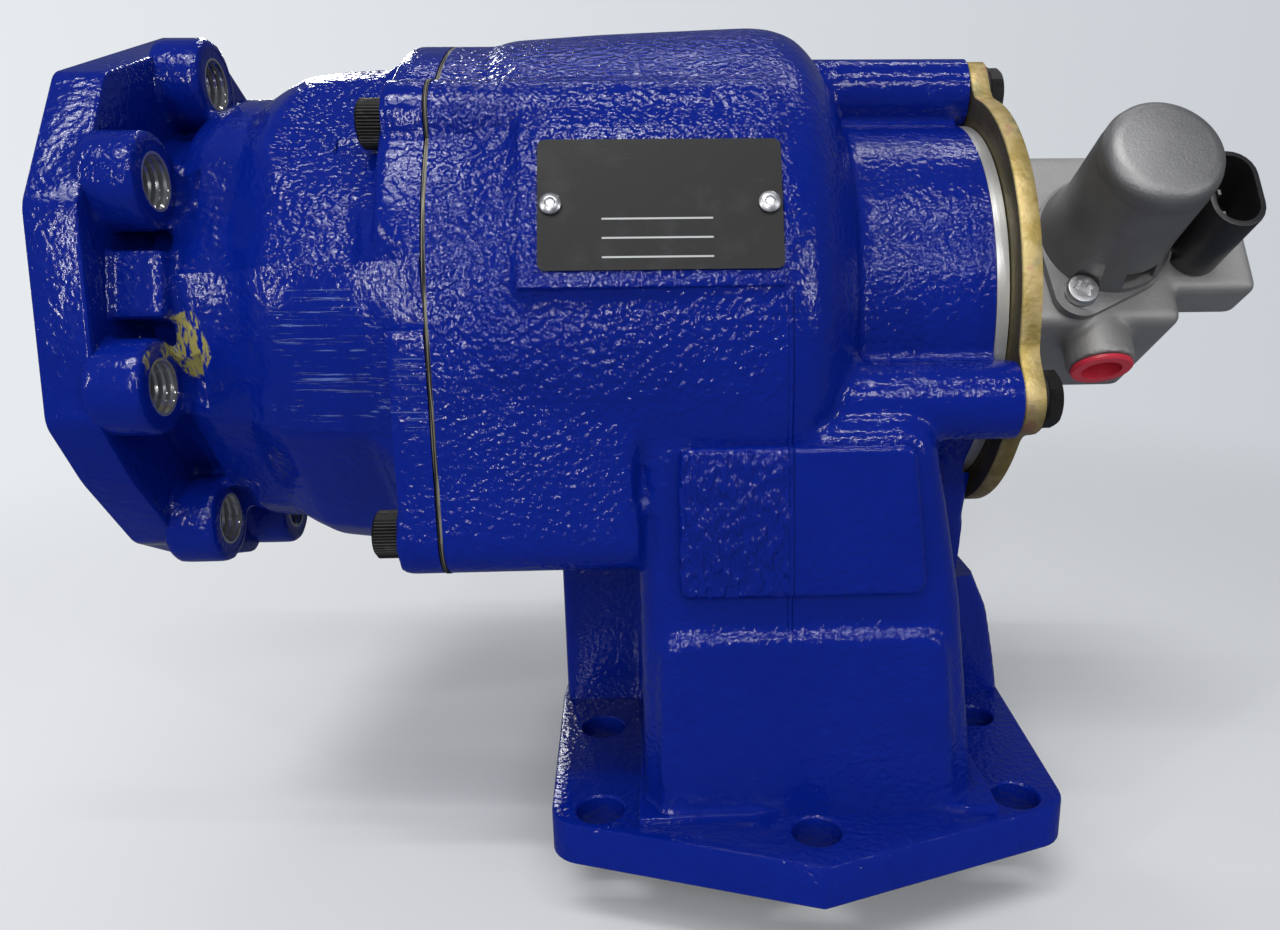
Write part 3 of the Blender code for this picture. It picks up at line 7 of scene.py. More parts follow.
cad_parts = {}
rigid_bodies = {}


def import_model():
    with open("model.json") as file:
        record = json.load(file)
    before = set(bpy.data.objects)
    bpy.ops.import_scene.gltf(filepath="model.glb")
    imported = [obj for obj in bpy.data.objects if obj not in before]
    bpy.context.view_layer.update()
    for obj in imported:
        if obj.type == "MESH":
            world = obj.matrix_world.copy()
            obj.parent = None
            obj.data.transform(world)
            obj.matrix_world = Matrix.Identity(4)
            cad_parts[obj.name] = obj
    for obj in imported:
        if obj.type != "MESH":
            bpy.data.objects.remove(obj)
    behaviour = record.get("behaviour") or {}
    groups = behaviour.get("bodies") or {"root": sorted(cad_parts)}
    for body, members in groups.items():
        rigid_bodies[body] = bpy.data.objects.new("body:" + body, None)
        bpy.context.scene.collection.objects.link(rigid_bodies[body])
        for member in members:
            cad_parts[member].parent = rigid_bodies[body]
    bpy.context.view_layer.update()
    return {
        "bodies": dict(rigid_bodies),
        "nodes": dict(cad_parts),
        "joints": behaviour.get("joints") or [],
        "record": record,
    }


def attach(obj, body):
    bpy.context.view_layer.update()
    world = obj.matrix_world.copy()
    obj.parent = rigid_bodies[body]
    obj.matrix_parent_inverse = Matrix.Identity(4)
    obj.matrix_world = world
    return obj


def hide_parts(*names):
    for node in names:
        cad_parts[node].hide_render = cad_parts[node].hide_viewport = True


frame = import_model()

bpy.ops.object.select_all(action="DESELECT")

MM = 0.001
SHAFT = (-5.5 * MM, 141.48 * MM)
IDLER = (10 * MM, 34.6 * MM)
PLATE_ANGLE = 23
VALVE_ANGLE = 34
DRAFT = 0.072
DRAFT_FROM = 12 * MM
JOINT_BORE_R = 65.3 * MM
GASKET_ENDS = (-92.1 * MM, -91.1 * MM)
SCREW_SEAT_X = -102.3 * MM


# Places

def along_x(centre=SHAFT, x=0.0):
    """Frame whose Z runs along the unit's X through a centre (y, z)."""
    return Matrix.Translation((x, *centre)) @ Matrix.Rotation(math.pi / 2, 4, "Y")


def around(radius, degrees, centre=SHAFT):
    """Point (y, z) at a radius and an angle above the direction towards the nameplate side."""
    angle = math.radians(degrees)
    return centre[0] - radius * math.cos(angle), centre[1] + radius * math.sin(angle)


def clocked(degrees):
    """Frame on the shaft axis: X along it, Y across, and Z out of it at an angle."""
    out = Vector((0, -math.cos(math.radians(degrees)), math.sin(math.radians(degrees))))
    along = Vector((1, 0, 0))
    turn = Matrix((along, out.cross(along), out)).transposed().to_4x4()
    return Matrix.Translation((0, *SHAFT)) @ turn


def moved(x, y, z):
    return Matrix.Translation((x, y, z))


def side_view():
    """Frame for outlines drawn in (x, z): its Z runs towards the nameplate side."""
    return Matrix.Rotation(math.pi / 2, 4, "X")


# Modelling

def pick(piece):
    bpy.ops.object.select_all(action="DESELECT")
    piece.select_set(True)
    bpy.context.view_layer.objects.active = piece


def edit(piece):
    pick(piece)
    bpy.ops.object.mode_set(mode="EDIT")
    bpy.ops.mesh.select_all(action="SELECT")


def settle(piece, place):
    """Leave edit mode and put the place into the mesh, so that the object sits at the origin."""
    if bpy.context.mode != "OBJECT":
        bpy.ops.object.mode_set(mode="OBJECT")
    piece.matrix_world = place @ piece.matrix_world
    pick(piece)
    bpy.ops.object.transform_apply(location=True, rotation=True, scale=True)
    return piece


def apply_step(piece, kind, **settings):
    step = piece.modifiers.new(kind.lower(), kind)
    for name, value in settings.items():
        setattr(step, name, value)
    pick(piece)
    bpy.ops.object.modifier_apply(modifier=step.name)
    return piece


def soften(piece, width, segments=2, angle=30):
    return apply_step(piece, "BEVEL", width=width, segments=segments, limit_method="ANGLE",
                      angle_limit=math.radians(angle), harden_normals=False)


def combine(piece, operation, tools, solver):
    for tool in tools:
        apply_step(piece, "BOOLEAN", operation=operation, solver=solver, object=tool)
        bpy.data.objects.remove(tool)
    return piece


def join(piece, *tools, solver="MANIFOLD"):
    return combine(piece, "UNION", tools, solver)


def cut(piece, *tools, solver="MANIFOLD"):
    return combine(piece, "DIFFERENCE", tools, solver)


def keep_inside(piece, *tools):
    return combine(piece, "INTERSECT", tools, "MANIFOLD")


def cast(piece, grain, rounds):
    """Melt the joined forms into one skin with rounded edges and fillets, as a mould leaves them."""
    apply_step(piece, "REMESH", mode="VOXEL", voxel_size=grain)
    return apply_step(piece, "SMOOTH", factor=0.5, iterations=rounds)


def copy_of(piece, place):
    twin = piece.copy()
    twin.data = piece.data.copy()
    bpy.context.scene.collection.objects.link(twin)
    return settle(twin, place)


def block(name, low, high, place=Matrix()):
    middle = [(l + h) / 2 for l, h in zip(low, high)]
    bpy.ops.mesh.primitive_cube_add(size=1, location=middle, scale=[h - l for l, h in zip(low, high)])
    bpy.context.object.name = name
    return settle(bpy.context.object, place)


def rod(name, radius, ends, place, sides=48):
    low, high = ends
    bpy.ops.mesh.primitive_cylinder_add(vertices=sides, radius=radius, depth=high - low,
                                        location=(0, 0, (low + high) / 2))
    bpy.context.object.name = name
    return settle(bpy.context.object, place)


def drawn(name, points, closed):
    """Start from one vertex and pull it from point to point. It stays in edit mode."""
    bpy.ops.mesh.primitive_plane_add(size=MM)
    piece = bpy.context.object
    piece.name = name
    edit(piece)
    bpy.ops.mesh.merge(type="CENTER")
    bpy.ops.transform.translate(value=points[0])
    path = points + points[:1] if closed else points
    for here, there in zip(path, path[1:]):
        step = [t - h for h, t in zip(here, there)]
        bpy.ops.mesh.extrude_region_move(TRANSFORM_OT_translate={"value": step})
    bpy.ops.mesh.select_all(action="SELECT")
    bpy.ops.mesh.remove_doubles(threshold=0.001 * MM)
    bpy.ops.mesh.select_all(action="SELECT")
    return piece


def turned(name, profile, place, sides=96):
    """Spin a profile of (radius, height) about the Z axis of a frame."""
    hollow = all(radius > 0 for radius, _ in profile)
    piece = drawn(name, [(radius, 0, height) for radius, height in profile], hollow)
    bpy.ops.mesh.spin(steps=sides, angle=2 * math.pi, center=(0, 0, 0), axis=(0, 0, 1))
    bpy.ops.mesh.select_all(action="SELECT")
    bpy.ops.mesh.remove_doubles(threshold=0.002 * MM)
    bpy.ops.mesh.normals_make_consistent(inside=False)
    return settle(piece, place)


def plate(name, outline, ends, place, corner=0.0, steps=6):
    """Flat outline between two heights of a frame, with its corners rounded."""
    low, high = ends
    piece = drawn(name, [(x, y, low) for x, y in outline], True)
    if corner:
        bpy.ops.mesh.bevel(offset=corner, segments=steps, affect="VERTICES", clamp_overlap=True)
        bpy.ops.mesh.select_all(action="SELECT")
    bpy.ops.mesh.edge_face_add()
    bpy.ops.mesh.extrude_region_move(TRANSFORM_OT_translate={"value": (0, 0, high - low)})
    bpy.ops.mesh.select_all(action="SELECT")
    bpy.ops.mesh.normals_make_consistent(inside=False)
    return settle(piece, place)


def ring(name, inner, outer, ends, place, sides=96):
    low, high = ends
    profile = [(inner, low), (outer, low), (outer, high), (inner, high)]
    return turned(name, profile, place, sides)


def circle(radius, sides):
    turn = [2 * math.pi * step / sides for step in range(sides)]
    return [(radius * math.cos(a), radius * math.sin(a)) for a in turn]


def in_metres(points):
    """Pairs of millimetres as pairs of metres."""
    return [(first * MM, second * MM) for first, second in points]


def lean(piece):
    """Draw the front wall of the case outwards with height, as the mould's draft does."""
    for vertex in piece.data.vertices:
        if vertex.co.y < SHAFT[0]:
            vertex.co.y -= DRAFT * (vertex.co.z - DRAFT_FROM)
    return piece


def even(piece):
    """Let the big flat faces set the shading of a bevelled piece."""
    return apply_step(piece, "WEIGHTED_NORMAL", keep_sharp=True, weight=100)


def finish_piece(piece, look, slot, body, *nodes, angle=35):
    pick(piece)
    piece.data.materials.clear()
    piece.data.materials.append(look)
    bpy.ops.object.shade_smooth_by_angle(angle=math.radians(angle))
    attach(piece, body)
    if nodes:
        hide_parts(*nodes)
    return piece


PUMP_BOLTS = [around(63.5 * MM, 35 + 45 * step) for step in range(8)]


# Finishes

class Link:
    """A socket of a shader tree that takes part in ordinary sums."""

    def __init__(self, finish, socket):
        self.finish = finish
        self.socket = socket

    def sum(self, operation, *others):
        made = self.finish.node("ShaderNodeMath", {"operation": operation}, *others)
        return Link(self.finish, made.outputs[0])

    def __add__(self, other):
        return self.sum("ADD", self, other)

    def __radd__(self, other):
        return self.sum("ADD", other, self)

    def __sub__(self, other):
        return self.sum("SUBTRACT", self, other)

    def __rsub__(self, other):
        return self.sum("SUBTRACT", other, self)

    def __mul__(self, other):
        return self.sum("MULTIPLY", self, other)

    def __rmul__(self, other):
        return self.sum("MULTIPLY", other, self)

    def __truediv__(self, other):
        return self.sum("DIVIDE", self, other)

    def __abs__(self):
        return self.sum("ABSOLUTE", self)

    def root(self):
        return self.sum("SQRT", self)

    def step(self, low, high):
        """0 below low, 1 above high, and smooth between them."""
        smooth = {"interpolation_type": "SMOOTHSTEP"}
        ramp = self.finish.node("ShaderNodeMapRange", smooth, self, low, high, 0.0, 1.0)
        return Link(self.finish, ramp.outputs[0])

    def between(self, low, high, edge):
        return self.step(low - edge, low + edge) * (1 - self.step(high - edge, high + edge))


class Finish:
    """A material whose nodes are made by one method."""

    def __init__(self, name, metallic=0.0, **fixed):
        self.material = bpy.data.materials.new(name)
        self.material.use_nodes = True
        self.tree = self.material.node_tree
        self.shader = self.tree.nodes["Principled BSDF"]
        self.shader.inputs["Metallic"].default_value = metallic
        for socket, value in fixed.items():
            self.shader.inputs[socket.replace("_", " ")].default_value = value
        self.place = Link(self, self.node("ShaderNodeTexCoord").outputs["Object"])
        axes = self.node("ShaderNodeSeparateXYZ", {}, self.place)
        self.x, self.y, self.z = (Link(self, axes.outputs[name]) for name in "XYZ")

    def node(self, kind, settings=None, *values, **named):
        made = self.tree.nodes.new(kind)
        for name, value in (settings or {}).items():
            setattr(made, name, value)
        for socket, value in [*zip(made.inputs, values), *((made.inputs[n], v) for n, v in named.items())]:
            if isinstance(value, Link):
                self.tree.links.new(value.socket, socket)
            elif value is not None:
                socket.default_value = value
        return made

    def noise(self, size, detail=2.0, roughness=0.5, stretch=(1, 1, 1), turn=(0, 0, 0)):
        """Soft noise from 0 to 1, whose lumps are about this many metres across."""
        at = self.place
        if stretch != (1, 1, 1) or turn != (0, 0, 0):
            at = Link(self, self.node("ShaderNodeMapping", {}, at, Rotation=turn, Scale=stretch).outputs[0])
        made = self.node("ShaderNodeTexNoise", {}, Vector=at, Scale=1 / size, Detail=detail,
                         Roughness=roughness)
        return Link(self, made.outputs["Fac"])

    def blend(self, share, first, second):
        made = self.node("ShaderNodeMix", {"data_type": "RGBA"})
        for index, value in ((0, share), (6, first), (7, second)):
            if isinstance(value, Link):
                self.tree.links.new(value.socket, made.inputs[index])
            else:
                made.inputs[index].default_value = (*value, 1) if index else value
        return Link(self, made.outputs[2])

    def away(self, centre=SHAFT):
        """Distance from the axis along X through a centre (y, z)."""
        y, z = self.y - centre[0], self.z - centre[1]
        return (y * y + z * z).root()

    def done(self, colour, roughness, height=None, depth=0.1 * MM, metal=None):
        """Feed the shader. The height goes from 0 to 1 and is this many metres deep."""
        ends = {"Base Color": colour, "Roughness": roughness, "Metallic": metal}
        for name, value in ends.items():
            socket = self.shader.inputs[name]
            if isinstance(value, Link):
                self.tree.links.new(value.socket, socket)
            elif value is not None:
                socket.default_value = (*value, 1) if name == "Base Color" else value
        if height is not None:
            bump = self.node("ShaderNodeBump", {}, Strength=1.0, Distance=depth, Height=height)
            self.tree.links.new(bump.outputs[0], self.shader.inputs["Normal"])
        return self.material


def blue_paint():
    look = Finish("deep_blue_paint")
    look.shader.inputs["Specular IOR Level"].default_value = 0.34
    drift = look.noise(30 * MM, 3)
    fleck = look.noise(4 * MM, 4, 0.6)
    peel = look.noise(1.7 * MM, 1, 0.4).step(0.3, 0.7)
    waves = look.noise(5 * MM, 1, 0.5)
    sand = look.noise(0.8 * MM, 2, 0.6)
    zone = look.noise(48 * MM, 1).step(0.38, 0.62)
    side = 1 - look.y.step(-60 * MM, -50 * MM)
    neck = look.x.between(-131 * MM, -107 * MM, 2 * MM) * look.z.step(154 * MM, 159 * MM)
    drum = look.x.between(-90 * MM, -8 * MM, 3 * MM) * look.z.step(120 * MM, 132 * MM)
    panel = look.x.between(-34.4 * MM, -7.9 * MM, 0.5 * MM) * side
    panel = panel * look.z.between(77.4 * MM, 114.8 * MM, 0.5 * MM)
    coarse = look.noise(3.2 * MM, 2, 0.5, (1.6, 1, 0.7), (0, 0.35, 0)).step(0.3, 0.7)
    colour = look.blend(drift * 0.6 + fleck * 0.4, (0.0008, 0.0075, 0.13), (0.0018, 0.0125, 0.215))
    front = look.x.between(-130 * MM, -93 * MM, 5 * MM) * look.z.between(121 * MM, 153 * MM, 2.5 * MM)
    front = front * (1 - look.y.step(-58 * MM, -50 * MM))
    scratch = look.noise(2.2 * MM, 4, 0.7, (0.06, 1, 3.6), (0, 0.1, 0)).step(0.56, 0.63) * front
    scratch = scratch * look.noise(8 * MM, 3, 0.6).step(0.42, 0.55)
    colour = look.blend(scratch * 0.5, colour, (0.13, 0.2, 0.5))
    colour = look.blend(marker_daub(look), colour, (0.3, 0.27, 0.05))
    chips = look.noise(0.9 * MM, 1, 0.4).step(0.845, 0.86) * look.noise(20 * MM, 1).step(0.5, 0.55)
    colour = look.blend(chips * 0.8, colour, (0.2, 0.22, 0.26))
    bare = bare_faces(look)
    colour = look.blend(bare, colour, (0.42, 0.42, 0.42))
    seam = 1 - abs(look.x + 7.6 * MM + (look.z - 96 * MM) * 0.02).step(0.3 * MM, 0.9 * MM)
    seam = seam * side * look.z.between(66 * MM, 152 * MM, 2 * MM)
    height = waves * 0.3 + peel * (0.1 + 0.16 * zone + 0.3 * neck + 0.26 * drum) + sand * (0.07 + 0.1 * zone)
    height = height * (1 - 0.6 * panel) + coarse * panel * 1.3 - scratch * 0.15 + seam * 0.9
    rough = 0.09 + 0.06 * fleck + 0.2 * scratch + 0.2 * chips
    return look.done(colour, rough, height * (1 - 0.85 * bare), 0.6 * MM, bare * 0.75)


def marker_daub(look):
    """Olive paint pen mark at the left end of the neck."""
    across = (look.x + 152.5 * MM) / (5.2 * MM)
    along = (look.z - 139.5 * MM) / (9.5 * MM)
    ragged = look.noise(5 * MM, 3, 0.6)
    inside = 1 - (across * across + along * along + ragged * 1.4).step(1.35, 1.55)
    strokes = look.noise(1.5 * MM, 3, 0.6, (1, 1, 0.35), (0, 0.6, 0)).step(0.38, 0.5)
    return inside * strokes * (1 - look.y.step(-58 * MM, -50 * MM)) * 0.85


def bare_faces(look):
    """1 on the machined faces and in the tapped holes, which carry no paint."""
    bare = (1 - look.x.step(-179.97 * MM, -179.9 * MM)) + (1 - look.z.step(0.03 * MM, 0.1 * MM))
    flange = 1 - look.x.step(-152 * MM, -151 * MM)
    for centre in PUMP_BOLTS:
        bare = bare + (1 - look.away(centre).step(6.9 * MM, 7 * MM)) * flange
    inner = 1 - look.away().step(65.7 * MM, 65.8 * MM)
    bare = bare + inner * look.x.between(-92 * MM, -8.2 * MM, 0.1 * MM)
    return bare.sum("MINIMUM", bare, 1.0)


def bare_steel(name, tone=(0.56, 0.56, 0.57), rough=0.3):
    look = Finish(name, 1.0)
    stain = look.noise(12 * MM, 3)
    brushed = look.noise(1.2 * MM, 4, 0.6, (0.2, 1, 1))
    dark = tuple(c * 0.72 for c in tone)
    return look.done(look.blend(stain, dark, tone), rough + 0.16 * stain + 0.1 * brushed, brushed, 0.04 * MM)


def black_oxide():
    look = Finish("black_oxide_steel", 0.85)
    fleck = look.noise(1.6 * MM, 4, 0.6)
    wear = look.noise(5 * MM, 3).step(0.62, 0.72)
    colour = look.blend(fleck, (0.012, 0.012, 0.013), (0.04, 0.038, 0.036))
    colour = look.blend(wear * 0.35, colour, (0.12, 0.1, 0.08))
    return look.done(colour, 0.36 + 0.2 * fleck, fleck, 0.05 * MM)


def yellow_zinc():
    look = Finish("yellow_zinc_plate", 0.92)
    hue = look.noise(7 * MM, 3, 0.55)
    fleck = look.noise(1.3 * MM, 3, 0.6)
    colour = look.blend(hue.step(0.35, 0.6), (0.4, 0.3, 0.1), (0.55, 0.43, 0.2))
    colour = look.blend(hue.step(0.58, 0.7) * 0.6, colour, (0.5, 0.2, 0.15))
    colour = look.blend(look.noise(9 * MM, 2).step(0.6, 0.7) * 0.4, colour, (0.16, 0.2, 0.15))
    # Olive tint with painted shade: the side turned towards the housing and the edge beside it are coloured much
    # darker.
    face = look.x.between(49 * MM, 51 * MM, 0.3 * MM)
    colour = look.blend(face * 0.8, colour, (0.085, 0.078, 0.036))
    return look.done(colour, 0.4 + 0.25 * fleck, fleck, 0.16 * MM)


def die_cast():
    look = Finish("die_cast_aluminium", 0.75)
    fleck = look.noise(0.7 * MM, 4, 0.7)
    cloud = look.noise(14 * MM, 3)
    turned_face = 1 - look.x.step(50.2 * MM, 50.9 * MM)
    colour = look.blend(fleck * 0.5 + cloud * 0.5, (0.25, 0.247, 0.24), (0.42, 0.415, 0.41))
    colour = look.blend(turned_face, colour, (0.6, 0.6, 0.6))
    lines = look.noise(0.5 * MM, 2, 0.5, (1, 0.04, 0.04))
    height = fleck * (1 - turned_face) + lines * turned_face * 0.4
    return look.done(colour, 0.52 - 0.22 * turned_face + 0.1 * fleck, height, 0.1 * MM)


def can_metal():
    look = Finish("satin_can", 0.85)
    fleck = look.noise(0.8 * MM, 4, 0.7)
    cloud = look.noise(11 * MM, 3)
    colour = look.blend(fleck * 0.4 + cloud * 0.6, (0.17, 0.17, 0.173), (0.33, 0.328, 0.325))
    grain = look.noise(0.5 * MM, 3, 0.7)
    return look.done(colour, 0.36 + 0.2 * fleck, fleck * 0.6 + grain * 0.4, 0.14 * MM)


def plastic(name, dark, light, rough):
    look = Finish(name)
    fleck = look.noise(0.6 * MM, 3, 0.6)
    cloud = look.noise(8 * MM, 2)
    return look.done(look.blend(cloud, dark, light), rough + 0.15 * fleck, fleck, 0.04 * MM)


def gasket_metal():
    look = Finish("coated_gasket", 0.7)
    cloud = look.noise(6 * MM, 3)
    layers = look.noise(0.3 * MM, 0, 0.5, (1, 0.02, 0.02))
    colour = look.blend(layers.step(0.4, 0.6), (0.012, 0.012, 0.012), (0.2, 0.19, 0.15))
    colour = look.blend(cloud.step(0.5, 0.7) * 0.5, colour, (0.03, 0.03, 0.03))
    return look.done(colour, 0.45 + 0.2 * cloud, layers, 0.2 * MM)


def plate_finish():
    """Black nameplate with empty ruled fields."""
    look = Finish("black_nameplate", 0.0)
    angle = math.radians(PLATE_ANGLE)
    up = (look.y - SHAFT[0]) * math.sin(angle) + (look.z - SHAFT[1]) * math.cos(angle)
    fleck = look.noise(0.8 * MM, 3, 0.6)
    hair = look.noise(2 * MM, 5, 0.7, (0.15, 1, 2)).step(0.66, 0.7)

    def line(middle, half=0.16 * MM):
        return 1 - abs(up - middle).step(half, half + 0.1 * MM)
    inside = look.x.between(-51 * MM, -26 * MM, 0.1 * MM)
    ruled = (line(-3.5 * MM) + line(-8 * MM) + line(-12.5 * MM)) * inside
    look.shader.inputs["Specular IOR Level"].default_value = 0.3
    colour = look.blend(fleck, (0.003, 0.003, 0.0034), (0.007, 0.007, 0.0075))
    colour = look.blend(look.noise(7 * MM, 3).step(0.5, 0.75) * 0.35, colour, (0.026, 0.026, 0.029))
    colour = look.blend(hair * 0.2, colour, (0.12, 0.12, 0.13))
    colour = look.blend(ruled * 0.8, colour, (0.5, 0.51, 0.52))
    return look.done(colour, 0.34 + 0.14 * fleck, fleck, 0.03 * MM)


BLUE = blue_paint()
STEEL = bare_steel("machined_steel", (0.72, 0.72, 0.73), 0.24)
DARK_STEEL = bare_steel("oiled_steel", (0.36, 0.355, 0.35), 0.34)
OXIDE = black_oxide()
ZINC = yellow_zinc()
CAST_ALUMINIUM = die_cast()
CAN = can_metal()
BLACK_PLASTIC = plastic("black_moulding", (0.008, 0.008, 0.009), (0.016, 0.016, 0.017), 0.3)
RED_PLASTIC = plastic("red_moulding", (0.42, 0.012, 0.03), (0.6, 0.03, 0.06), 0.32)
RUBBER = plastic("black_rubber", (0.012, 0.012, 0.012), (0.025, 0.025, 0.025), 0.55)
GASKET = gasket_metal()
PLATE = plate_finish()
BRONZE = bare_steel("turned_bronze", (0.62, 0.4, 0.18), 0.3)
COPPER = bare_steel("copper_wire", (0.72, 0.34, 0.18), 0.32)
PAPER = plastic("friction_facing", (0.12, 0.08, 0.045), (0.24, 0.17, 0.1), 0.75)


# Main housing casting

CASE_FACE_X = -91.2 * MM
EARS = ((68.7 * MM, 46), (81 * MM, -36.6), (68.7 * MM, 134), (81 * MM, 216.6))
EAR_RIB_END_X = (-11 * MM, -44 * MM, -11 * MM, -44 * MM)
EAR_R = 10 * MM
LOWER_EAR_FROM = 75 * MM
COVER_ANGLES = (92, -18, -143)
COVER_R = 60.5 * MM
PAD_HOLES = [(sx * x * MM, sy * y * MM) for x, y in ((59, 22), (57.3, 67)) for sx in (-1, 1) for sy in (-1, 1)]
PAD_HOLES += [(0, -80.3 * MM), (0, 80.3 * MM)]


def rounded(points, radii, steps=6):
    """Replace each corner of an outline by an arc of its own radius."""
    outline = []
    for before, corner, after, radius in zip(points[-1:] + points[:-1], points, points[1:] + points[:1], radii):
        corner = Vector(corner)
        back = (Vector(before) - corner).normalized()
        on = (Vector(after) - corner).normalized()
        half = back.angle(on) / 2
        centre = corner + (back + on).normalized() * radius / math.sin(half)
        start = corner + back * radius / math.tan(half) - centre
        end = corner + on * radius / math.tan(half) - centre
        for step in range(steps + 1):
            outline.append(tuple(centre + start.lerp(end, step / steps).normalized() * radius))
    return outline


def pad_form():
    quarter = [(73.5, 0), (70.5, 71.5), (0, 95.5), (-70.5, 71.5)]
    outline = in_metres(quarter) + [(-x * MM, -y * MM) for x, y in quarter]
    outline = rounded(outline, [4 * MM, 10 * MM, 2 * MM, 10 * MM] * 2)
    return soften(plate("pad_form", outline, (-4 * MM, 12 * MM), Matrix()), 0.9 * MM, 2, 50)


def plinth_form(top, low, margin=0.0):
    made = block("plinth_form", ((-46.7 - margin) * MM, -76 * MM, low * MM),
                 ((50 + margin) * MM, 76 * MM, top * MM))
    for sign in (-1, 1):
        cut(made, rod("crescent", 89 * MM, (-40 * MM, 40 * MM), moved(13 * MM, sign * 160 * MM, 0), 128))
    return made


def gear_case_form():
    points = [(-45, -12), (45.5, -12), (45.5, 16), (38, 72), (30, 112), (28, 121), (-45, 121)]
    made = plate("gear_case_form", in_metres(points), (-72.1 * MM, 71 * MM), side_view())
    lean(made)
    return soften(made, 8 * MM, 5, 40)


def belly_form():
    """Fuller lower half of the case front."""
    points = rounded([(-41, -12), (42, -12), (33, 65), (-40.5, 65)], [1, 1, 7, 7])
    made = plate("belly_form", in_metres(points), (66 * MM, 73.6 * MM), side_view())
    return soften(lean(made), 3.4 * MM, 5, 50)


def panel_form():
    points = rounded([(-35, 76.5), (27.2, 76.5), (22, 115.7), (-35, 115.7)], [3.5] * 4)
    made = plate("panel_form", in_metres(points), (68 * MM, 74.2 * MM), side_view())
    return soften(lean(made), 1.8 * MM, 4, 50)


def right_post_form():
    points = [(36, -12), (73, -12), (73, 14), (70, 26), (64, 46), (57, 60)]
    points += [(51.5, 74), (50, 82), (50, 104), (36, 104)]
    made = plate("right_post_form", in_metres(points), (-12 * MM, 3 * MM), side_view())
    for vertex in made.data.vertices:
        if vertex.co.y < 0:
            vertex.co.y -= 0.4 * max(0, vertex.co.z - 12 * MM)
    return soften(made, 2 * MM, 3, 50)


def plate_pad_form():
    """Nameplate pad that runs on into the upper front rib, drawn across the shaft axis."""
    outline = [(-19.5, 60), (-19.5, 75.8), (19.5, 75.8), (33, 70.5), (36, 64), (30, 52)]
    frame = clocked(PLATE_ANGLE) @ Matrix(((0, 0, 1, 0), (1, 0, 0, 0), (0, 1, 0, 0), (0, 0, 0, 1)))
    return plate("plate_pad_form", in_metres(outline), (-70.5 * MM, -9.5 * MM), frame)


def name_pad_form(low, top):
    """Block as long and wide as the flat under the nameplate."""
    return block("name_pad", (-70.2 * MM, -19.2 * MM, low * MM), (-9.8 * MM, 19.2 * MM, top * MM),
                 clocked(PLATE_ANGLE))


def ear_web(radius, degrees, ends):
    """Wall that fills the corner between a lower ear and the round of the drum."""
    side = 38.9 if degrees < 90 else -38.9
    centre = around(radius, degrees)
    corners = [around(68 * MM, degrees + side), around(73 * MM, degrees + side)]
    corners += [around(EAR_R, degrees + side, centre), centre]
    return plate("ear_web", [(-z, y) for y, z in corners], ends, along_x((0, 0)))


def main_casting():
    profile = [(0, -97), (73, -97), (73, -81), (74.4, -76.5), (75.9, -53), (77, -26), (77.5, -13), (77.1, -8)]
    profile += [(76, -4), (74.6, -1), (72, 2), (68, 5.2), (61, 9.2), (56, 11), (50, 12.2), (0, 12.2)]
    made = turned("main_casting", in_metres(profile), along_x(), 128)
    join(made, rod("bearing_form", 52 * MM, (0, 52 * MM), along_x(), 128), gear_case_form(), belly_form())
    left = block("left_post_form", (-72 * MM, -3 * MM, -12 * MM), (-40 * MM, 12 * MM, 74 * MM))
    join(made, soften(left, 2 * MM, 3), right_post_form(),
         rod("idler_boss", 13 * MM, (-56 * MM, -40 * MM), along_x(IDLER)))
    join(made, plinth_form(13.3, -12, -0.4), plate_pad_form())
    for (radius, degrees), end in zip(EARS, EAR_RIB_END_X):
        join(made, rod("ear_rib", EAR_R, (-96 * MM, end), along_x(around(radius, degrees)), 48))
        if radius > LOWER_EAR_FROM:
            join(made, ear_web(radius, degrees, (-96 * MM, end - 1 * MM)))
    for degrees in COVER_ANGLES:
        join(made, rod("cover_boss", 10 * MM, (0, 56 * MM), along_x(around(COVER_R, degrees)), 48))
    cast(made, 1.4 * MM, 7)
    cut(made, block("below_pad", (-100 * MM, -120 * MM, -30 * MM), (100 * MM, 120 * MM, 7 * MM)))
    cut(made, name_pad_form(76.45, 90))
    join(made, pad_form(), soften(plinth_form(14.6, 6), 0.7 * MM, 2, 50), panel_form(),
         soften(name_pad_form(68, 76.5), 0.7 * MM, 2, 50))
    end = [(0, 46.8), (54.5, 46.8), (54.5, 70), (0, 70)]
    cut(made, turned("housing_end", in_metres(end), along_x()))
    for degrees in COVER_ANGLES:
        boss = rod("boss_end", 9.9 * MM, (38 * MM, 50.3 * MM), along_x(around(COVER_R, degrees)), 48)
        join(made, soften(boss, 0.5 * MM, 2, 50))
    machine_main_casting(made)
    return finish_piece(made, BLUE, "blue_paint", "housing", "main_housing", angle=32)


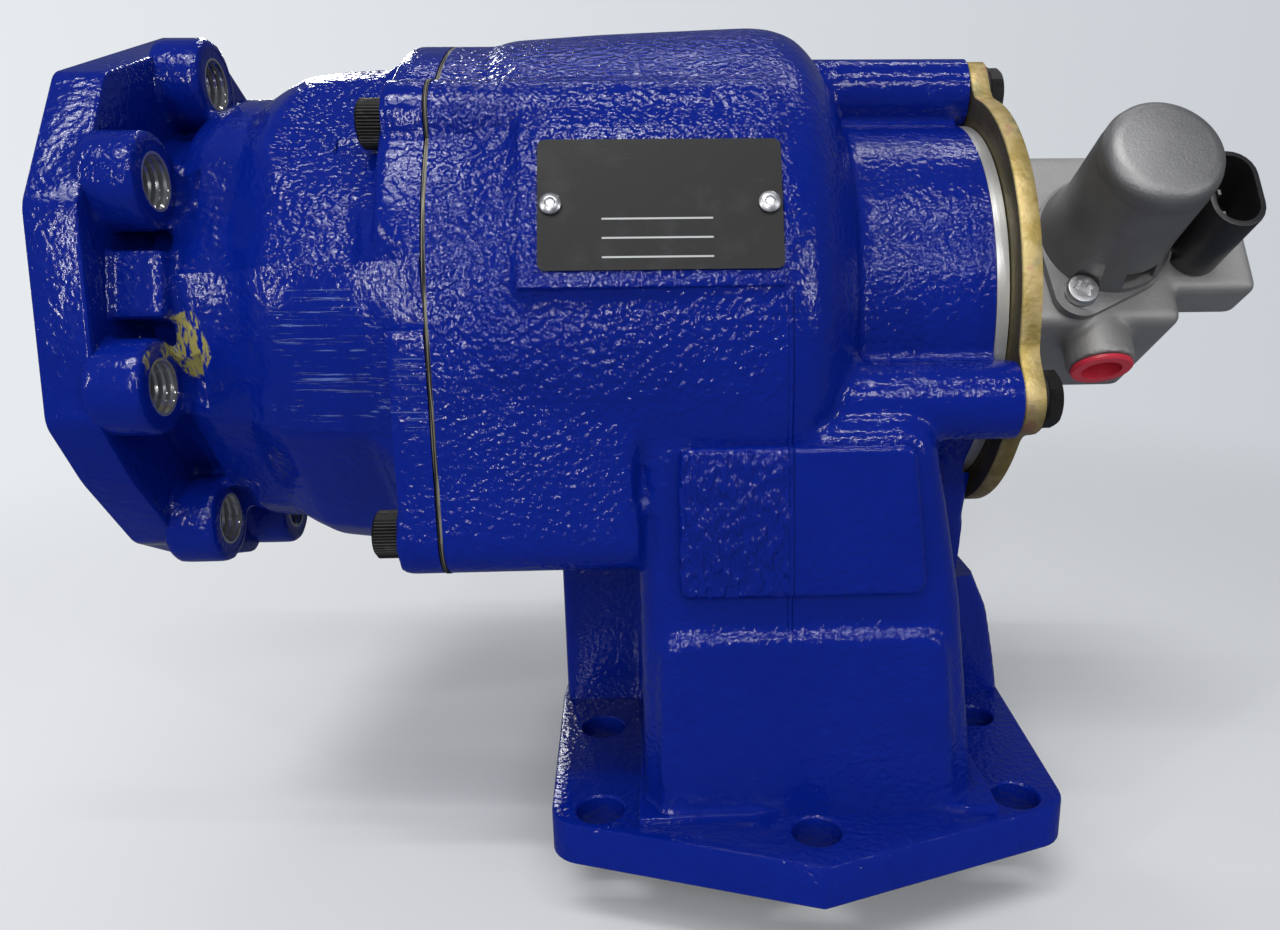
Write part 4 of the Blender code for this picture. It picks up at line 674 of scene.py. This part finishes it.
def machine_main_casting(made):
    cut(made, block("pad_face", (-100 * MM, -120 * MM, -20 * MM), (100 * MM, 120 * MM, 0)))
    cut(made, block("joint_face", (-110 * MM, -100 * MM, 20 * MM), (CASE_FACE_X, 100 * MM, 240 * MM)))
    cut(made, block("boss_face", (50.3 * MM, -100 * MM, 60 * MM), (70 * MM, 100 * MM, 240 * MM)))
    bores = [(0, -100), (65.3, -100), (65.3, -8), (50, -8), (50, 2), (34, 5), (34, 16.7), (40.3, 16.7)]
    bores += [(40.3, 35), (46.3, 35), (46.3, 46.9), (51.9, 46.9), (51.9, 60), (0, 60)]
    tools = [turned("bores", in_metres(bores), along_x(), 96)]
    tools.append(rod("gear_room", 58 * MM, (-39.4 * MM, 29.4 * MM), along_x(IDLER), 96))
    tools.append(block("pad_opening", (-39.4 * MM, -36.5 * MM, -5 * MM), (29.4 * MM, 56.5 * MM, 34.6 * MM)))
    tools.append(rod("idler_bore", 9.3 * MM, (-75 * MM, 41.3 * MM), along_x(IDLER)))
    for x, y in PAD_HOLES:
        top = 13.4 if x else 12.4
        hole = [(0, -5), (6.5, -5), (6.5, 11.4), (7, 12.1), (7, top), (0, top)]
        tools.append(turned("pad_hole", in_metres(hole), moved(x, y, 0), 48))
    for radius, degrees in EARS:
        tools.append(rod("ear_hole", 4.3 * MM, (-97 * MM, -77 * MM), along_x(around(radius, degrees)), 24))
    for degrees in COVER_ANGLES:
        tools.append(rod("cover_hole", 4.3 * MM, (26 * MM, 60 * MM), along_x(around(COVER_R, degrees)), 24))
    cut(made, *tools)


# Pump flange housing casting

FLANGE_CORNERS = ((80, 100), (77, 53), (74, 25), (74.5, -14), (71, -29), (71, -52), (71, -75), (75, -92),
                  (71, -110), (71, -133), (74, -156), (74.5, 171), (77, 135))


NECK = ((-172, 50.5), (-158.5, 51), (-156.3, 57.2), (-150, 59.3), (-141, 60.1), (-136.4, 62.9), (-131, 65.6),
        (-122, 66.7), (-109, 67.4), (-105, 70), (-102, 73), (-86, 73))
NECK_FLAT_POINTS = 9
FRONT_FLAT, BACK_FLAT = -2.5, 182.5
FRONT_FLAT_SHARE = 0.951
FACETS = ((-38, 17), (FRONT_FLAT, 18), (27.7, 16.7), (152.3, 16.7), (BACK_FLAT, 18), (218, 17))


def facet(degrees, half):
    """Cutter for a flat along the neck that steps up with it. The middle ones run on to the joint."""
    share = math.cos(math.radians(half))
    outline = [(x * MM, radius * share * MM) for x, radius in NECK[:NECK_FLAT_POINTS]]
    if degrees in (FRONT_FLAT, BACK_FLAT):
        outline += [(-84 * MM, 74 * MM), (-84 * MM, 90 * MM)]
    else:
        outline += [(-104.8 * MM, 71 * MM), (-104.8 * MM, 90 * MM)]
    outline += [(-180 * MM, 90 * MM), (-180 * MM, 48 * MM)]
    return plate("facet", outline, (-60 * MM, 60 * MM), clocked(degrees) @ side_view())


def head_flat(degrees):
    """Cutter for the flat that clears an upper screw head."""
    outline = [(-133, 64.5), (-126, 62.2), (-103.5, 62.2), (-103.5, 90), (-133, 90)]
    frame_flat = clocked(degrees) @ side_view()
    return plate("head_flat", in_metres(outline), (-60 * MM, 60 * MM), frame_flat)


def flange_form(name, ends, corner, share=1.0):
    outline = []
    for radius, degrees in FLANGE_CORNERS:
        y, z = around(radius * share * MM, degrees, (0, 0))
        outline.append((-z, y))
    return plate(name, outline, ends, along_x(), corner=corner, steps=3)


def front_band():
    """Crisp-edged skin over the front flat, whose width follows the neck's radius."""
    width, proud, base, end = 20.4 * MM, 0.3, 45, -92
    outline = [(x, radius * FRONT_FLAT_SHARE + proud) for x, radius in NECK[2:NECK_FLAT_POINTS]]
    outline += [(end, 71.2), (end, base), (outline[0][0], base)]
    made = plate("front_band", in_metres(outline), (-width, width), Matrix())
    for vertex in made.data.vertices:
        vertex.co.z *= vertex.co.y / (64.5 * MM)
    return soften(settle(made, clocked(FRONT_FLAT) @ side_view()), 0.4 * MM, 2, 50)


def neck_casting():
    frame_x = along_x()
    profile = [(0, -172)] + [(radius, x) for x, radius in NECK] + [(0, -86)]
    made = turned("neck_casting", in_metres(profile), frame_x, 160)
    for degrees, half in FACETS:
        cut(made, facet(degrees, half))
    cut(made, head_flat(46), head_flat(134))
    join(made, flange_form("flange_core", (-177 * MM, -168.6 * MM), 3 * MM, 0.93))
    for centre in PUMP_BOLTS:
        boss = rod("pump_boss", 11.7 * MM, (-170.5 * MM, -156.8 * MM), along_x(centre))
        join(made, soften(boss, 1.2 * MM, 2))
    for radius, degrees in EARS:
        join(made, rod("neck_ear", EAR_R, (SCREW_SEAT_X, -86 * MM), along_x(around(radius, degrees)), 48))
        if radius > LOWER_EAR_FROM:
            join(made, ear_web(radius, degrees, (-101.5 * MM, -86 * MM)))
    for degrees in (12.5, 167.5):
        low, high = (-172 * MM, -8.2 * MM, 45 * MM), (-155.2 * MM, 8.2 * MM, 60.8 * MM)
        join(made, block("boss_pad", low, high, clocked(degrees)))
    cast(made, 1.1 * MM, 5)
    join(made, front_band())
    join(made, soften(flange_form("flange_rim", (-184 * MM, -168 * MM), 2 * MM), 1 * MM, 2, 50))
    bore = [(0, -190), (50.9, -190), (50.8, -169.5), (40, -169.5), (40, -140), (33.3, -140), (33.3, -131.2)]
    bore += [(30, -131.2), (30, -128.3), (42.8, -128.3), (42.8, -105), (60, -101), (60, -80), (0, -80)]
    tools = [block("flange_face", (-200 * MM, -100 * MM, 40 * MM), (-180 * MM, 100 * MM, 240 * MM))]
    tools.append(block("joint_face", (-92.4 * MM, -100 * MM, 40 * MM), (-70 * MM, 100 * MM, 240 * MM)))
    tools.append(turned("neck_bore", in_metres(bore), frame_x, 96))
    for centre in PUMP_BOLTS:
        tools.append(threaded_hole(6.35 * MM, (-185 * MM, -150 * MM), along_x(centre)))
        tools.append(rod("boss_face", 9.4 * MM, (-157 * MM, -150 * MM), along_x(centre), 48))
    for radius, degrees in EARS:
        ear = along_x(around(radius, degrees))
        tools.append(rod("ear_hole", 4.3 * MM, (-115 * MM, -85 * MM), ear, 24))
        tools.append(rod("head_room", 7.2 * MM, (-117 * MM, -102 * MM), ear, 48))
    cut(made, *tools)
    return finish_piece(made, BLUE, "blue_paint", "housing", "pump_flange_housing", angle=32)


def threaded_hole(radius, ends, place, pitch=1.9 * MM):
    """Cutter for a tapped hole: its wall is a row of small grooves."""
    low, high = ends
    profile = [(0, low), (radius, low)]
    height = low + pitch
    while height < high - pitch:
        profile += [(radius, height), (radius + 0.5 * MM, height + pitch * 0.3), (radius, height + pitch * 0.6)]
        height += pitch
    return turned("tapped_hole", profile + [(radius, high), (0, high)], place, 32)


# Joint, its screws and the nameplate

def knurled_screws():
    """Socket head cap screw with a knurled head, modelled once and copied to each ear."""
    ridges = 46
    rim = []
    for ridge in range(ridges):
        for radius, share in ((5.7 * MM, 0), (6 * MM, 0.35), (6 * MM, 0.65)):
            angle = 2 * math.pi * (ridge + share) / ridges
            rim.append((radius * math.cos(angle), radius * math.sin(angle)))
    head = plate("screw_form", rim, (-7 * MM, 0), Matrix())
    trim = [(0, -7), (5.1, -7), (5.9, -6.3), (6.9, -6.2), (6.9, 1), (0, 1)]
    keep_inside(head, turned("head_trim", in_metres(trim), Matrix(), 64))
    join(head, rod("shank", 4 * MM, (-1 * MM, 24 * MM), Matrix(), 32))
    socket = plate("hex_socket", circle(3.5 * MM, 6), (-9 * MM, -3.2 * MM), Matrix())
    cut(head, socket)
    for number, (radius, degrees) in enumerate(EARS, 1):
        seat = along_x(around(radius, degrees), SCREW_SEAT_X)
        screw = copy_of(head, seat @ Matrix.Rotation(math.radians(20 * number), 4, "Z"))
        screw.name = f"knurled_screw_{number}"
        finish_piece(screw, OXIDE, "black_oxide", "housing", f"joint_screw_{number}", angle=28)
    bpy.data.objects.remove(head)


def gasket():
    made = ring("layered_gasket", JOINT_BORE_R, 72.9 * MM, GASKET_ENDS, along_x(), 128)
    for radius, degrees in EARS:
        join(made, rod("gasket_ear", 10.1 * MM, GASKET_ENDS, along_x(around(radius, degrees)), 48),
             solver="EXACT")
        if radius > LOWER_EAR_FROM:
            join(made, ear_web(radius, degrees, (-92.08 * MM, -91.12 * MM)), solver="EXACT")
    cut(made, rod("gasket_bore", JOINT_BORE_R, (-95 * MM, -88 * MM), along_x(), 128), solver="EXACT")
    for radius, degrees in EARS:
        cut(made, rod("gasket_hole", 4.3 * MM, (-95 * MM, -88 * MM), along_x(around(radius, degrees)), 24))
    finish_piece(made, GASKET, "grey_gasket", "housing", "joint_gasket")


def nameplate():
    frame_n = clocked(PLATE_ANGLE)
    corners = [(-65.4, -15.5), (-10.1, -15.5), (-10.1, 15.5), (-65.4, 15.5)]
    made = plate("ruled_nameplate", in_metres(corners), (76.8 * MM, 77.3 * MM), frame_n,
                 corner=1.8 * MM)
    for x in (-62.4 * MM, -13.1 * MM):
        cut(made, rod("plate_hole", 1.7 * MM, (70 * MM, 80 * MM), frame_n @ moved(x, 0, 0), 24))
    soften(made, 0.12 * MM, 2)
    even(made)
    finish_piece(made, PLATE, "black_plate", "housing", "nameplate", angle=20)
    for number, x in enumerate((-62.4 * MM, -13.1 * MM), 1):
        dome = [(0, 73.7), (1.4, 73.7), (1.4, 77.6), (2.6, 77.6)]
        dome += [(2.5, 78), (2, 78.4), (1.2, 78.6), (0.9, 78.2), (0, 78.2)]
        screw = turned(f"drive_screw_{number}", in_metres(dome), frame_n @ moved(x, 0, 0), 32)
        finish_piece(screw, STEEL, "steel", "housing", f"nameplate_screw_{number}")


# Clamp plate, its bolts and the electric valve

def clamp_outline():
    """Round plate with three lugs, whose edge is evened out where lug and plate meet."""
    count = 180
    reach = []
    for step in range(count):
        degrees = 360 * step / count
        radius = 59.3
        for lug in COVER_ANGLES:
            off = math.radians((degrees - lug + 180) % 360 - 180)
            across = 60.5 * math.sin(off)
            if abs(off) < 1 and abs(across) < 9.6:
                radius = max(radius, 60.5 * math.cos(off) + math.sqrt(9.6 ** 2 - across ** 2))
        reach.append(radius)
    for _ in range(3):
        reach = [(reach[i - 1] + 2 * r + reach[(i + 1) % count]) / 4 for i, r in enumerate(reach)]
    outline = []
    for step, radius in enumerate(reach):
        y, z = around(radius * MM, 360 * step / count, (0, 0))
        outline.append((-z, y))
    return outline


def clamp_plate():
    made = plate("zinc_clamp_plate", clamp_outline(), (50.6 * MM, 56 * MM), along_x())
    cut(made, rod("plate_bore", 45.6 * MM, (45 * MM, 60 * MM), along_x(), 96))
    for degrees in COVER_ANGLES:
        cut(made, rod("lug_hole", 4.3 * MM, (45 * MM, 60 * MM), along_x(around(COVER_R, degrees)), 24))
    soften(made, 0.7 * MM, 2)
    finish_piece(made, ZINC, "yellow_zinc", "housing", "clamp_plate")
    for number, degrees in enumerate(COVER_ANGLES, 1):
        place = along_x(around(COVER_R, degrees), 56.3 * MM)
        bolt = plate(f"cover_hex_bolt_{number}", circle(7.5 * MM, 6), (0, 5 * MM), place)
        dome = [(0, -1), (8, -1), (8, 0.6), (7.6, 4.3), (6.3, 5), (0, 5)]
        keep_inside(bolt, turned("hex_trim", in_metres(dome), place, 48))
        washer = in_metres([(0, 0), (7.9, 0), (7.9, 0.7), (7.2, 1.3), (0, 1.3)])
        join(bolt, turned("washer_face", washer, place, 48), rod("shank", 4 * MM, (-24 * MM, 1 * MM), place, 32))
        finish_piece(bolt, OXIDE, "black_oxide", "housing", f"cover_bolt_{number}", angle=25)


VALVE = clocked(VALVE_ANGLE)
CAN_PLACE = VALVE @ moved(90 * MM, 9.5 * MM, 0)
CAN_SCREW = VALVE @ moved(80 * MM, -9 * MM, 0)
PLUG_PLACE = VALVE @ moved(116 * MM, 9 * MM, 0)
VALVE_TOP = 20.3
PORT = VALVE @ moved(88 * MM, 0, 10.4 * MM) @ Matrix.Rotation(math.pi / 2, 4, "X")


def valve_block():
    body = block("valve_casting", (52 * MM, -17 * MM, -26 * MM), (110 * MM, 39.8 * MM, 20 * MM), VALVE)
    wing = block("wing", (101 * MM, -7 * MM, 4 * MM), (134 * MM, 22 * MM, 19.9 * MM), VALVE)
    hub = rod("hub", 45.3 * MM, (50 * MM, 57 * MM), along_x(), 96)
    boss = rod("port_boss", 9.5 * MM, (11 * MM, 26 * MM), PORT)
    ear = rod("screw_ear", 6.5 * MM, (10 * MM, 20 * MM), CAN_SCREW)
    join(soften(body, 3 * MM, 3), soften(wing, 2.5 * MM, 3), hub, boss, ear)
    cast(body, 0.95 * MM, 3)
    keep_inside(body, block("cast_reach", (50.3 * MM, -100 * MM, 40 * MM), (140 * MM, 100 * MM, 240 * MM)))
    flange = [(0, 35.3), (46, 35.3), (46, 38.3), (43, 38.3), (43, 41.9), (46, 41.9), (46, 47.1), (51.6, 47.1)]
    flange += [(51.6, 50.3), (45.3, 50.3), (45.3, 52), (0, 52)]
    join(body, turned("machined_flange", in_metres(flange), along_x(), 128))
    top = block("solenoid_seat", (60 * MM, -18 * MM, 20 * MM), (140 * MM, 40 * MM, 30 * MM), VALVE)
    port = turned("port_bore", [(0, 16 * MM), (7 * MM, 16 * MM), (7 * MM, 25 * MM), (8 * MM, 26 * MM),
                                (8 * MM, 31 * MM), (0, 31 * MM)], PORT, 48)
    port_face = block("port_face", (-12 * MM, -12 * MM, 26 * MM), (12 * MM, 12 * MM, 32 * MM), PORT)
    spool = rod("spool_bore", 5.3 * MM, (-23 * MM, 25 * MM), CAN_PLACE, 48)
    screw = rod("screw_hole", 2.8 * MM, (10 * MM, 25 * MM), CAN_SCREW, 24)
    tube = rod("tube_hole", 3 * MM, (30 * MM, 44.6 * MM), along_x(), 24)
    seat = rod("plug_seat", 6 * MM, (17 * MM, 25 * MM), PLUG_PLACE, 48)
    cut(body, top, port, port_face, spool, screw, tube, seat)
    finish_piece(body, CAST_ALUMINIUM, "cast_aluminium", "housing", "valve_block")


def solenoid():
    low = VALVE_TOP
    shell = [(0, 61), (13.6, 58), (13.6, low + 4), (7, low + 4), (7, low), (18.6, low), (19, low + 0.5)]
    shell += [(19, low + 1.6), (18.7, low + 3.2), (18.1, low + 4.6), (17.3, low + 7), (16.8, low + 10)]
    shell += [(16.4, low + 14), (16.2, 42), (16, 55), (15.5, 56.4), (15.8, 57.6), (15.7, 59.4), (15, 61.2)]
    shell += [(13.4, 62.5), (11.4, 63), (0, 63)]
    made = turned("solenoid_shell", in_metres(shell), CAN_PLACE, 96)
    join(made, can_foot(low))
    cut(made, rod("ear_hole", 2.8 * MM, (15 * MM, 30 * MM), CAN_SCREW, 24),
        rod("screw_room", 5 * MM, (22.8 * MM, 32 * MM), CAN_SCREW, 48),
        rod("foot_bore", 7 * MM, (15 * MM, 24.3 * MM), CAN_PLACE, 48))
    facing = Matrix.Rotation(math.radians(-70), 4, "Z")
    cut(made, block("window", (12 * MM, -5 * MM, 24.2 * MM), (22 * MM, 5 * MM, 29.4 * MM), CAN_PLACE @ facing))
    soften(made, 0.25 * MM, 2, 40)
    finish_piece(made, CAN, "can_metal", "housing", "solenoid_can")
    head = [(0, 12), (2.5, 12), (2.5, 23.1), (4.7, 23.1), (4.7, 24.4), (4.2, 25.1), (3.2, 25.3), (0, 25.3)]
    screw = turned("lobed_screw", in_metres(head), CAN_SCREW, 48)
    lobes = []
    for step in range(36):
        angle = 2 * math.pi * step / 36
        radius = (2.5 + 0.5 * math.cos(6 * angle)) * MM
        lobes.append((radius * math.cos(angle), radius * math.sin(angle)))
    cut(screw, plate("lobed_socket", lobes, (23.2 * MM, 28 * MM), CAN_SCREW))
    finish_piece(screw, STEEL, "steel", "housing", "solenoid_screw")


def can_foot(low):
    """Drop-shaped foot flange around the can and its screw ear."""
    ends = (low * MM, (low + 2.5) * MM)
    foot = rod("can_foot", 19.6 * MM, ends, CAN_PLACE, 96)
    ear = (-10, -18.5)
    away = math.hypot(*ear)
    swing = math.acos((19.6 - 7.4) / away)
    heading = math.atan2(ear[1], ear[0])
    outline = []
    for centre, radius, side in (((0, 0), 19.6, 1), (ear, 7.4, 1), (ear, 7.4, -1), ((0, 0), 19.6, -1)):
        angle = heading + side * swing
        x, t = centre[0] + radius * math.cos(angle), centre[1] + radius * math.sin(angle)
        outline.append((x * MM, t * MM))
    inset = 0.01 * MM
    join(foot, plate("foot_web", outline, (ends[0] + inset, ends[1] - inset), CAN_PLACE),
         rod("foot_ear", 7.4 * MM, (ends[0] + 2 * inset, ends[1] - 2 * inset),
             CAN_PLACE @ moved(ear[0] * MM, ear[1] * MM, 0)))
    return foot


def connector():
    def oval(half_x, half_t):
        straight = half_t - half_x
        upper = [(half_x * math.cos(a), straight + half_x * math.sin(a))
                 for a in (math.radians(15 * step) for step in range(13))]
        return [(x * MM, t * MM) for x, t in upper + [(-x, -t) for x, t in upper]]
    made = plate("plug_shroud", oval(7.5, 12), (VALVE_TOP * MM, 46 * MM), PLUG_PLACE)
    join(made, block("latch", (-3 * MM, 11 * MM, 33 * MM), (3 * MM, 14 * MM, 43 * MM), PLUG_PLACE))
    soften(made, 0.5 * MM, 2)
    cut(made, plate("socket", oval(5.9, 10.4), (29 * MM, 50 * MM), PLUG_PLACE))
    for t in (-3.5 * MM, 3.5 * MM):
        low, high = (-0.7 * MM, t - 1.1 * MM, 24.3 * MM), (0.7 * MM, t + 1.1 * MM, 32 * MM)
        cut(made, block("pin_hole", low, high, PLUG_PLACE))
    finish_piece(made, BLACK_PLASTIC, "black_plastic", "housing", "connector_shroud")


def port_plug():
    cap = [(0, 17), (6.6, 17), (6.7, 26.3), (8.6, 26.3), (8.7, 27.2), (8.2, 27.7)]
    cap += [(5.6, 27.7), (5.3, 22), (0, 22)]
    made = turned("red_port_cap", in_metres(cap), PORT, 64)
    finish_piece(made, RED_PLASTIC, "red_plastic", "housing", "port_plug")


main_casting()
neck_casting()
knurled_screws()
gasket()
nameplate()
clamp_plate()
valve_block()
solenoid()
connector()
port_plug()

NODE_FINISHES = {
    "steel": DARK_STEEL, "rubber": RUBBER, "bronze": BRONZE, "copper": COPPER, "friction_paper": PAPER,
    "black_oxide": OXIDE, "yellow_zinc": ZINC, "cast_aluminium": CAST_ALUMINIUM, "can_metal": CAN,
    "black_plastic": BLACK_PLASTIC, "red_plastic": RED_PLASTIC, "black_plate": PLATE, "grey_gasket": GASKET,
    "blue_paint": BLUE,
}
for row in frame["record"]["subparts"]:
    node = frame["nodes"][row["node"]]
    node.data.materials.clear()
    node.data.materials.append(NODE_FINISHES[row["material_slot"]])


# Studio and camera

SKY_LIGHT = (0.31, 0.32, 0.335)
SKY_REFLECTED = (0.1, 0.11, 0.14)
# The backdrop seen by the camera goes darker towards the right: painted shade.
BACKDROP_LEFT, BACKDROP_RIGHT_PAINTED_SHADE = (0.81, 0.84, 0.87), (0.58, 0.61, 0.65)
BACKDROP_REACH = 0.6
# The floor's colour goes darker towards the right: painted shade.
FLOOR_LEFT, FLOOR_RIGHT_PAINTED_SHADE = (0.68, 0.69, 0.705), (0.5, 0.512, 0.53)
FLOOR_Z = -21.4 * MM
LAMP_AIM = Vector((-0.03, -0.01, 0.11))


def pale_floor():
    """Pale matt floor that fades into the backdrop away from the unit. Its colour darkens towards the right as
    painted shade.
    """
    look = Finish("pale_floor")
    look.shader.inputs["Specular IOR Level"].default_value = 0.1
    reach = (look.x * look.x + look.y * look.y).root()
    look.tree.links.new((1 - reach.step(0.3, 0.75)).socket, look.shader.inputs["Alpha"])
    return look.done(look.blend(look.x.step(-0.3, 0.5), FLOOR_LEFT, FLOOR_RIGHT_PAINTED_SHADE), 0.9)


def studio():
    bpy.ops.mesh.primitive_circle_add(vertices=128, radius=2, fill_type="NGON", location=(0, 0, FLOOR_Z))
    floor = bpy.context.object
    floor.name = "floor"
    floor.data.materials.append(pale_floor())
    floor.visible_glossy = False
    world = bpy.data.worlds.new("studio")
    bpy.context.scene.world = world
    world.use_nodes = True
    nodes, links = world.node_tree.nodes, world.node_tree.links
    shades = {}
    for name, colour in (("diffuse", SKY_LIGHT), ("glossy", SKY_REFLECTED), ("camera", BACKDROP_LEFT)):
        shades[name] = nodes.new("ShaderNodeBackground")
        shades[name].inputs[0].default_value = (*colour, 1)
    # Painted shade: the backdrop colour for camera rays darkens from left to right.
    look_x = nodes.new("ShaderNodeSeparateXYZ")
    links.new(nodes.new("ShaderNodeTexCoord").outputs["Generated"], look_x.inputs[0])
    fall = nodes.new("ShaderNodeMapRange")
    fall.inputs["From Min"].default_value = -BACKDROP_REACH
    fall.inputs["From Max"].default_value = BACKDROP_REACH
    links.new(look_x.outputs["X"], fall.inputs["Value"])
    painted_shade_sweep = nodes.new("ShaderNodeMix")
    painted_shade_sweep.data_type = "RGBA"
    painted_shade_sweep.inputs[6].default_value = (*BACKDROP_LEFT, 1)
    painted_shade_sweep.inputs[7].default_value = (*BACKDROP_RIGHT_PAINTED_SHADE, 1)
    links.new(fall.outputs[0], painted_shade_sweep.inputs[0])
    links.new(painted_shade_sweep.outputs[2], shades["camera"].inputs[0])
    path = nodes.new("ShaderNodeLightPath")
    glossy = nodes.new("ShaderNodeMixShader")
    camera_mix = nodes.new("ShaderNodeMixShader")
    links.new(path.outputs["Is Glossy Ray"], glossy.inputs[0])
    links.new(shades["diffuse"].outputs[0], glossy.inputs[1])
    links.new(shades["glossy"].outputs[0], glossy.inputs[2])
    links.new(path.outputs["Is Camera Ray"], camera_mix.inputs[0])
    links.new(glossy.outputs[0], camera_mix.inputs[1])
    links.new(shades["camera"].outputs[0], camera_mix.inputs[2])
    links.new(camera_mix.outputs[0], nodes["World Output"].inputs["Surface"])
    lamp("roof_strip", (-0.1, -0.8, 1.85), (1.5, 0.035), 11)
    lamp("front_strip", (0.3, -1.6, 1.15), (0.9, 0.03), 6)
    lamp("left_window", (-0.5, -1.85, 0.62), (0.045, 0.9), 9)
    lamp("far_left_window", (-1.5, -1.2, 0.7), (0.045, 0.8), 7)
    lamp("right_window", (1.45, -1.25, 0.6), (0.04, 0.7), 5)
    lamp("back_strip", (0.2, 0.9, 1.9), (1.6, 0.05), 6)
    lamp("back_window", (-0.7, 1.6, 0.9), (0.08, 0.9), 4)
    bpy.ops.object.light_add(type="SUN", location=(0, 0, 2))
    sun = bpy.context.object
    sun.name = "soft_sky"
    sun.data.energy = 0.8
    sun.data.angle = math.radians(25)
    sun.rotation_euler = Vector((-0.25, -0.5, 1)).to_track_quat("Z", "Y").to_euler()


def lamp(name, place, size, power):
    bpy.ops.object.light_add(type="AREA", location=place)
    made = bpy.context.object
    made.name = name
    made.data.shape = "RECTANGLE"
    made.data.size, made.data.size_y = size
    made.data.energy = power
    aim = LAMP_AIM - Vector(place)
    made.rotation_euler = aim.to_track_quat("-Z", "Y").to_euler()


def camera():
    right = Vector((0.99898, -0.04436, -0.00914))
    up = Vector((0.01976, 0.24518, 0.96926))
    ahead = right.cross(up) * -1
    bpy.ops.object.camera_add(location=(0, 0, 0))
    made = bpy.context.object
    made.matrix_world = Matrix.Translation((-37.8 * MM, -308.1 * MM, 170 * MM)) @ Matrix(
        (right, up, -ahead)).transposed().to_4x4()
    made.data.sensor_width = 36
    made.data.lens = 995 / 1280 * 36
    made.data.shift_x = -66 / 1280
    made.data.shift_y = -2 / 1280
    made.data.clip_start = 0.01
    bpy.context.scene.camera = made


studio()
camera()
bpy.context.scene.view_settings.view_transform = "Standard"
bpy.context.view_layer.update()
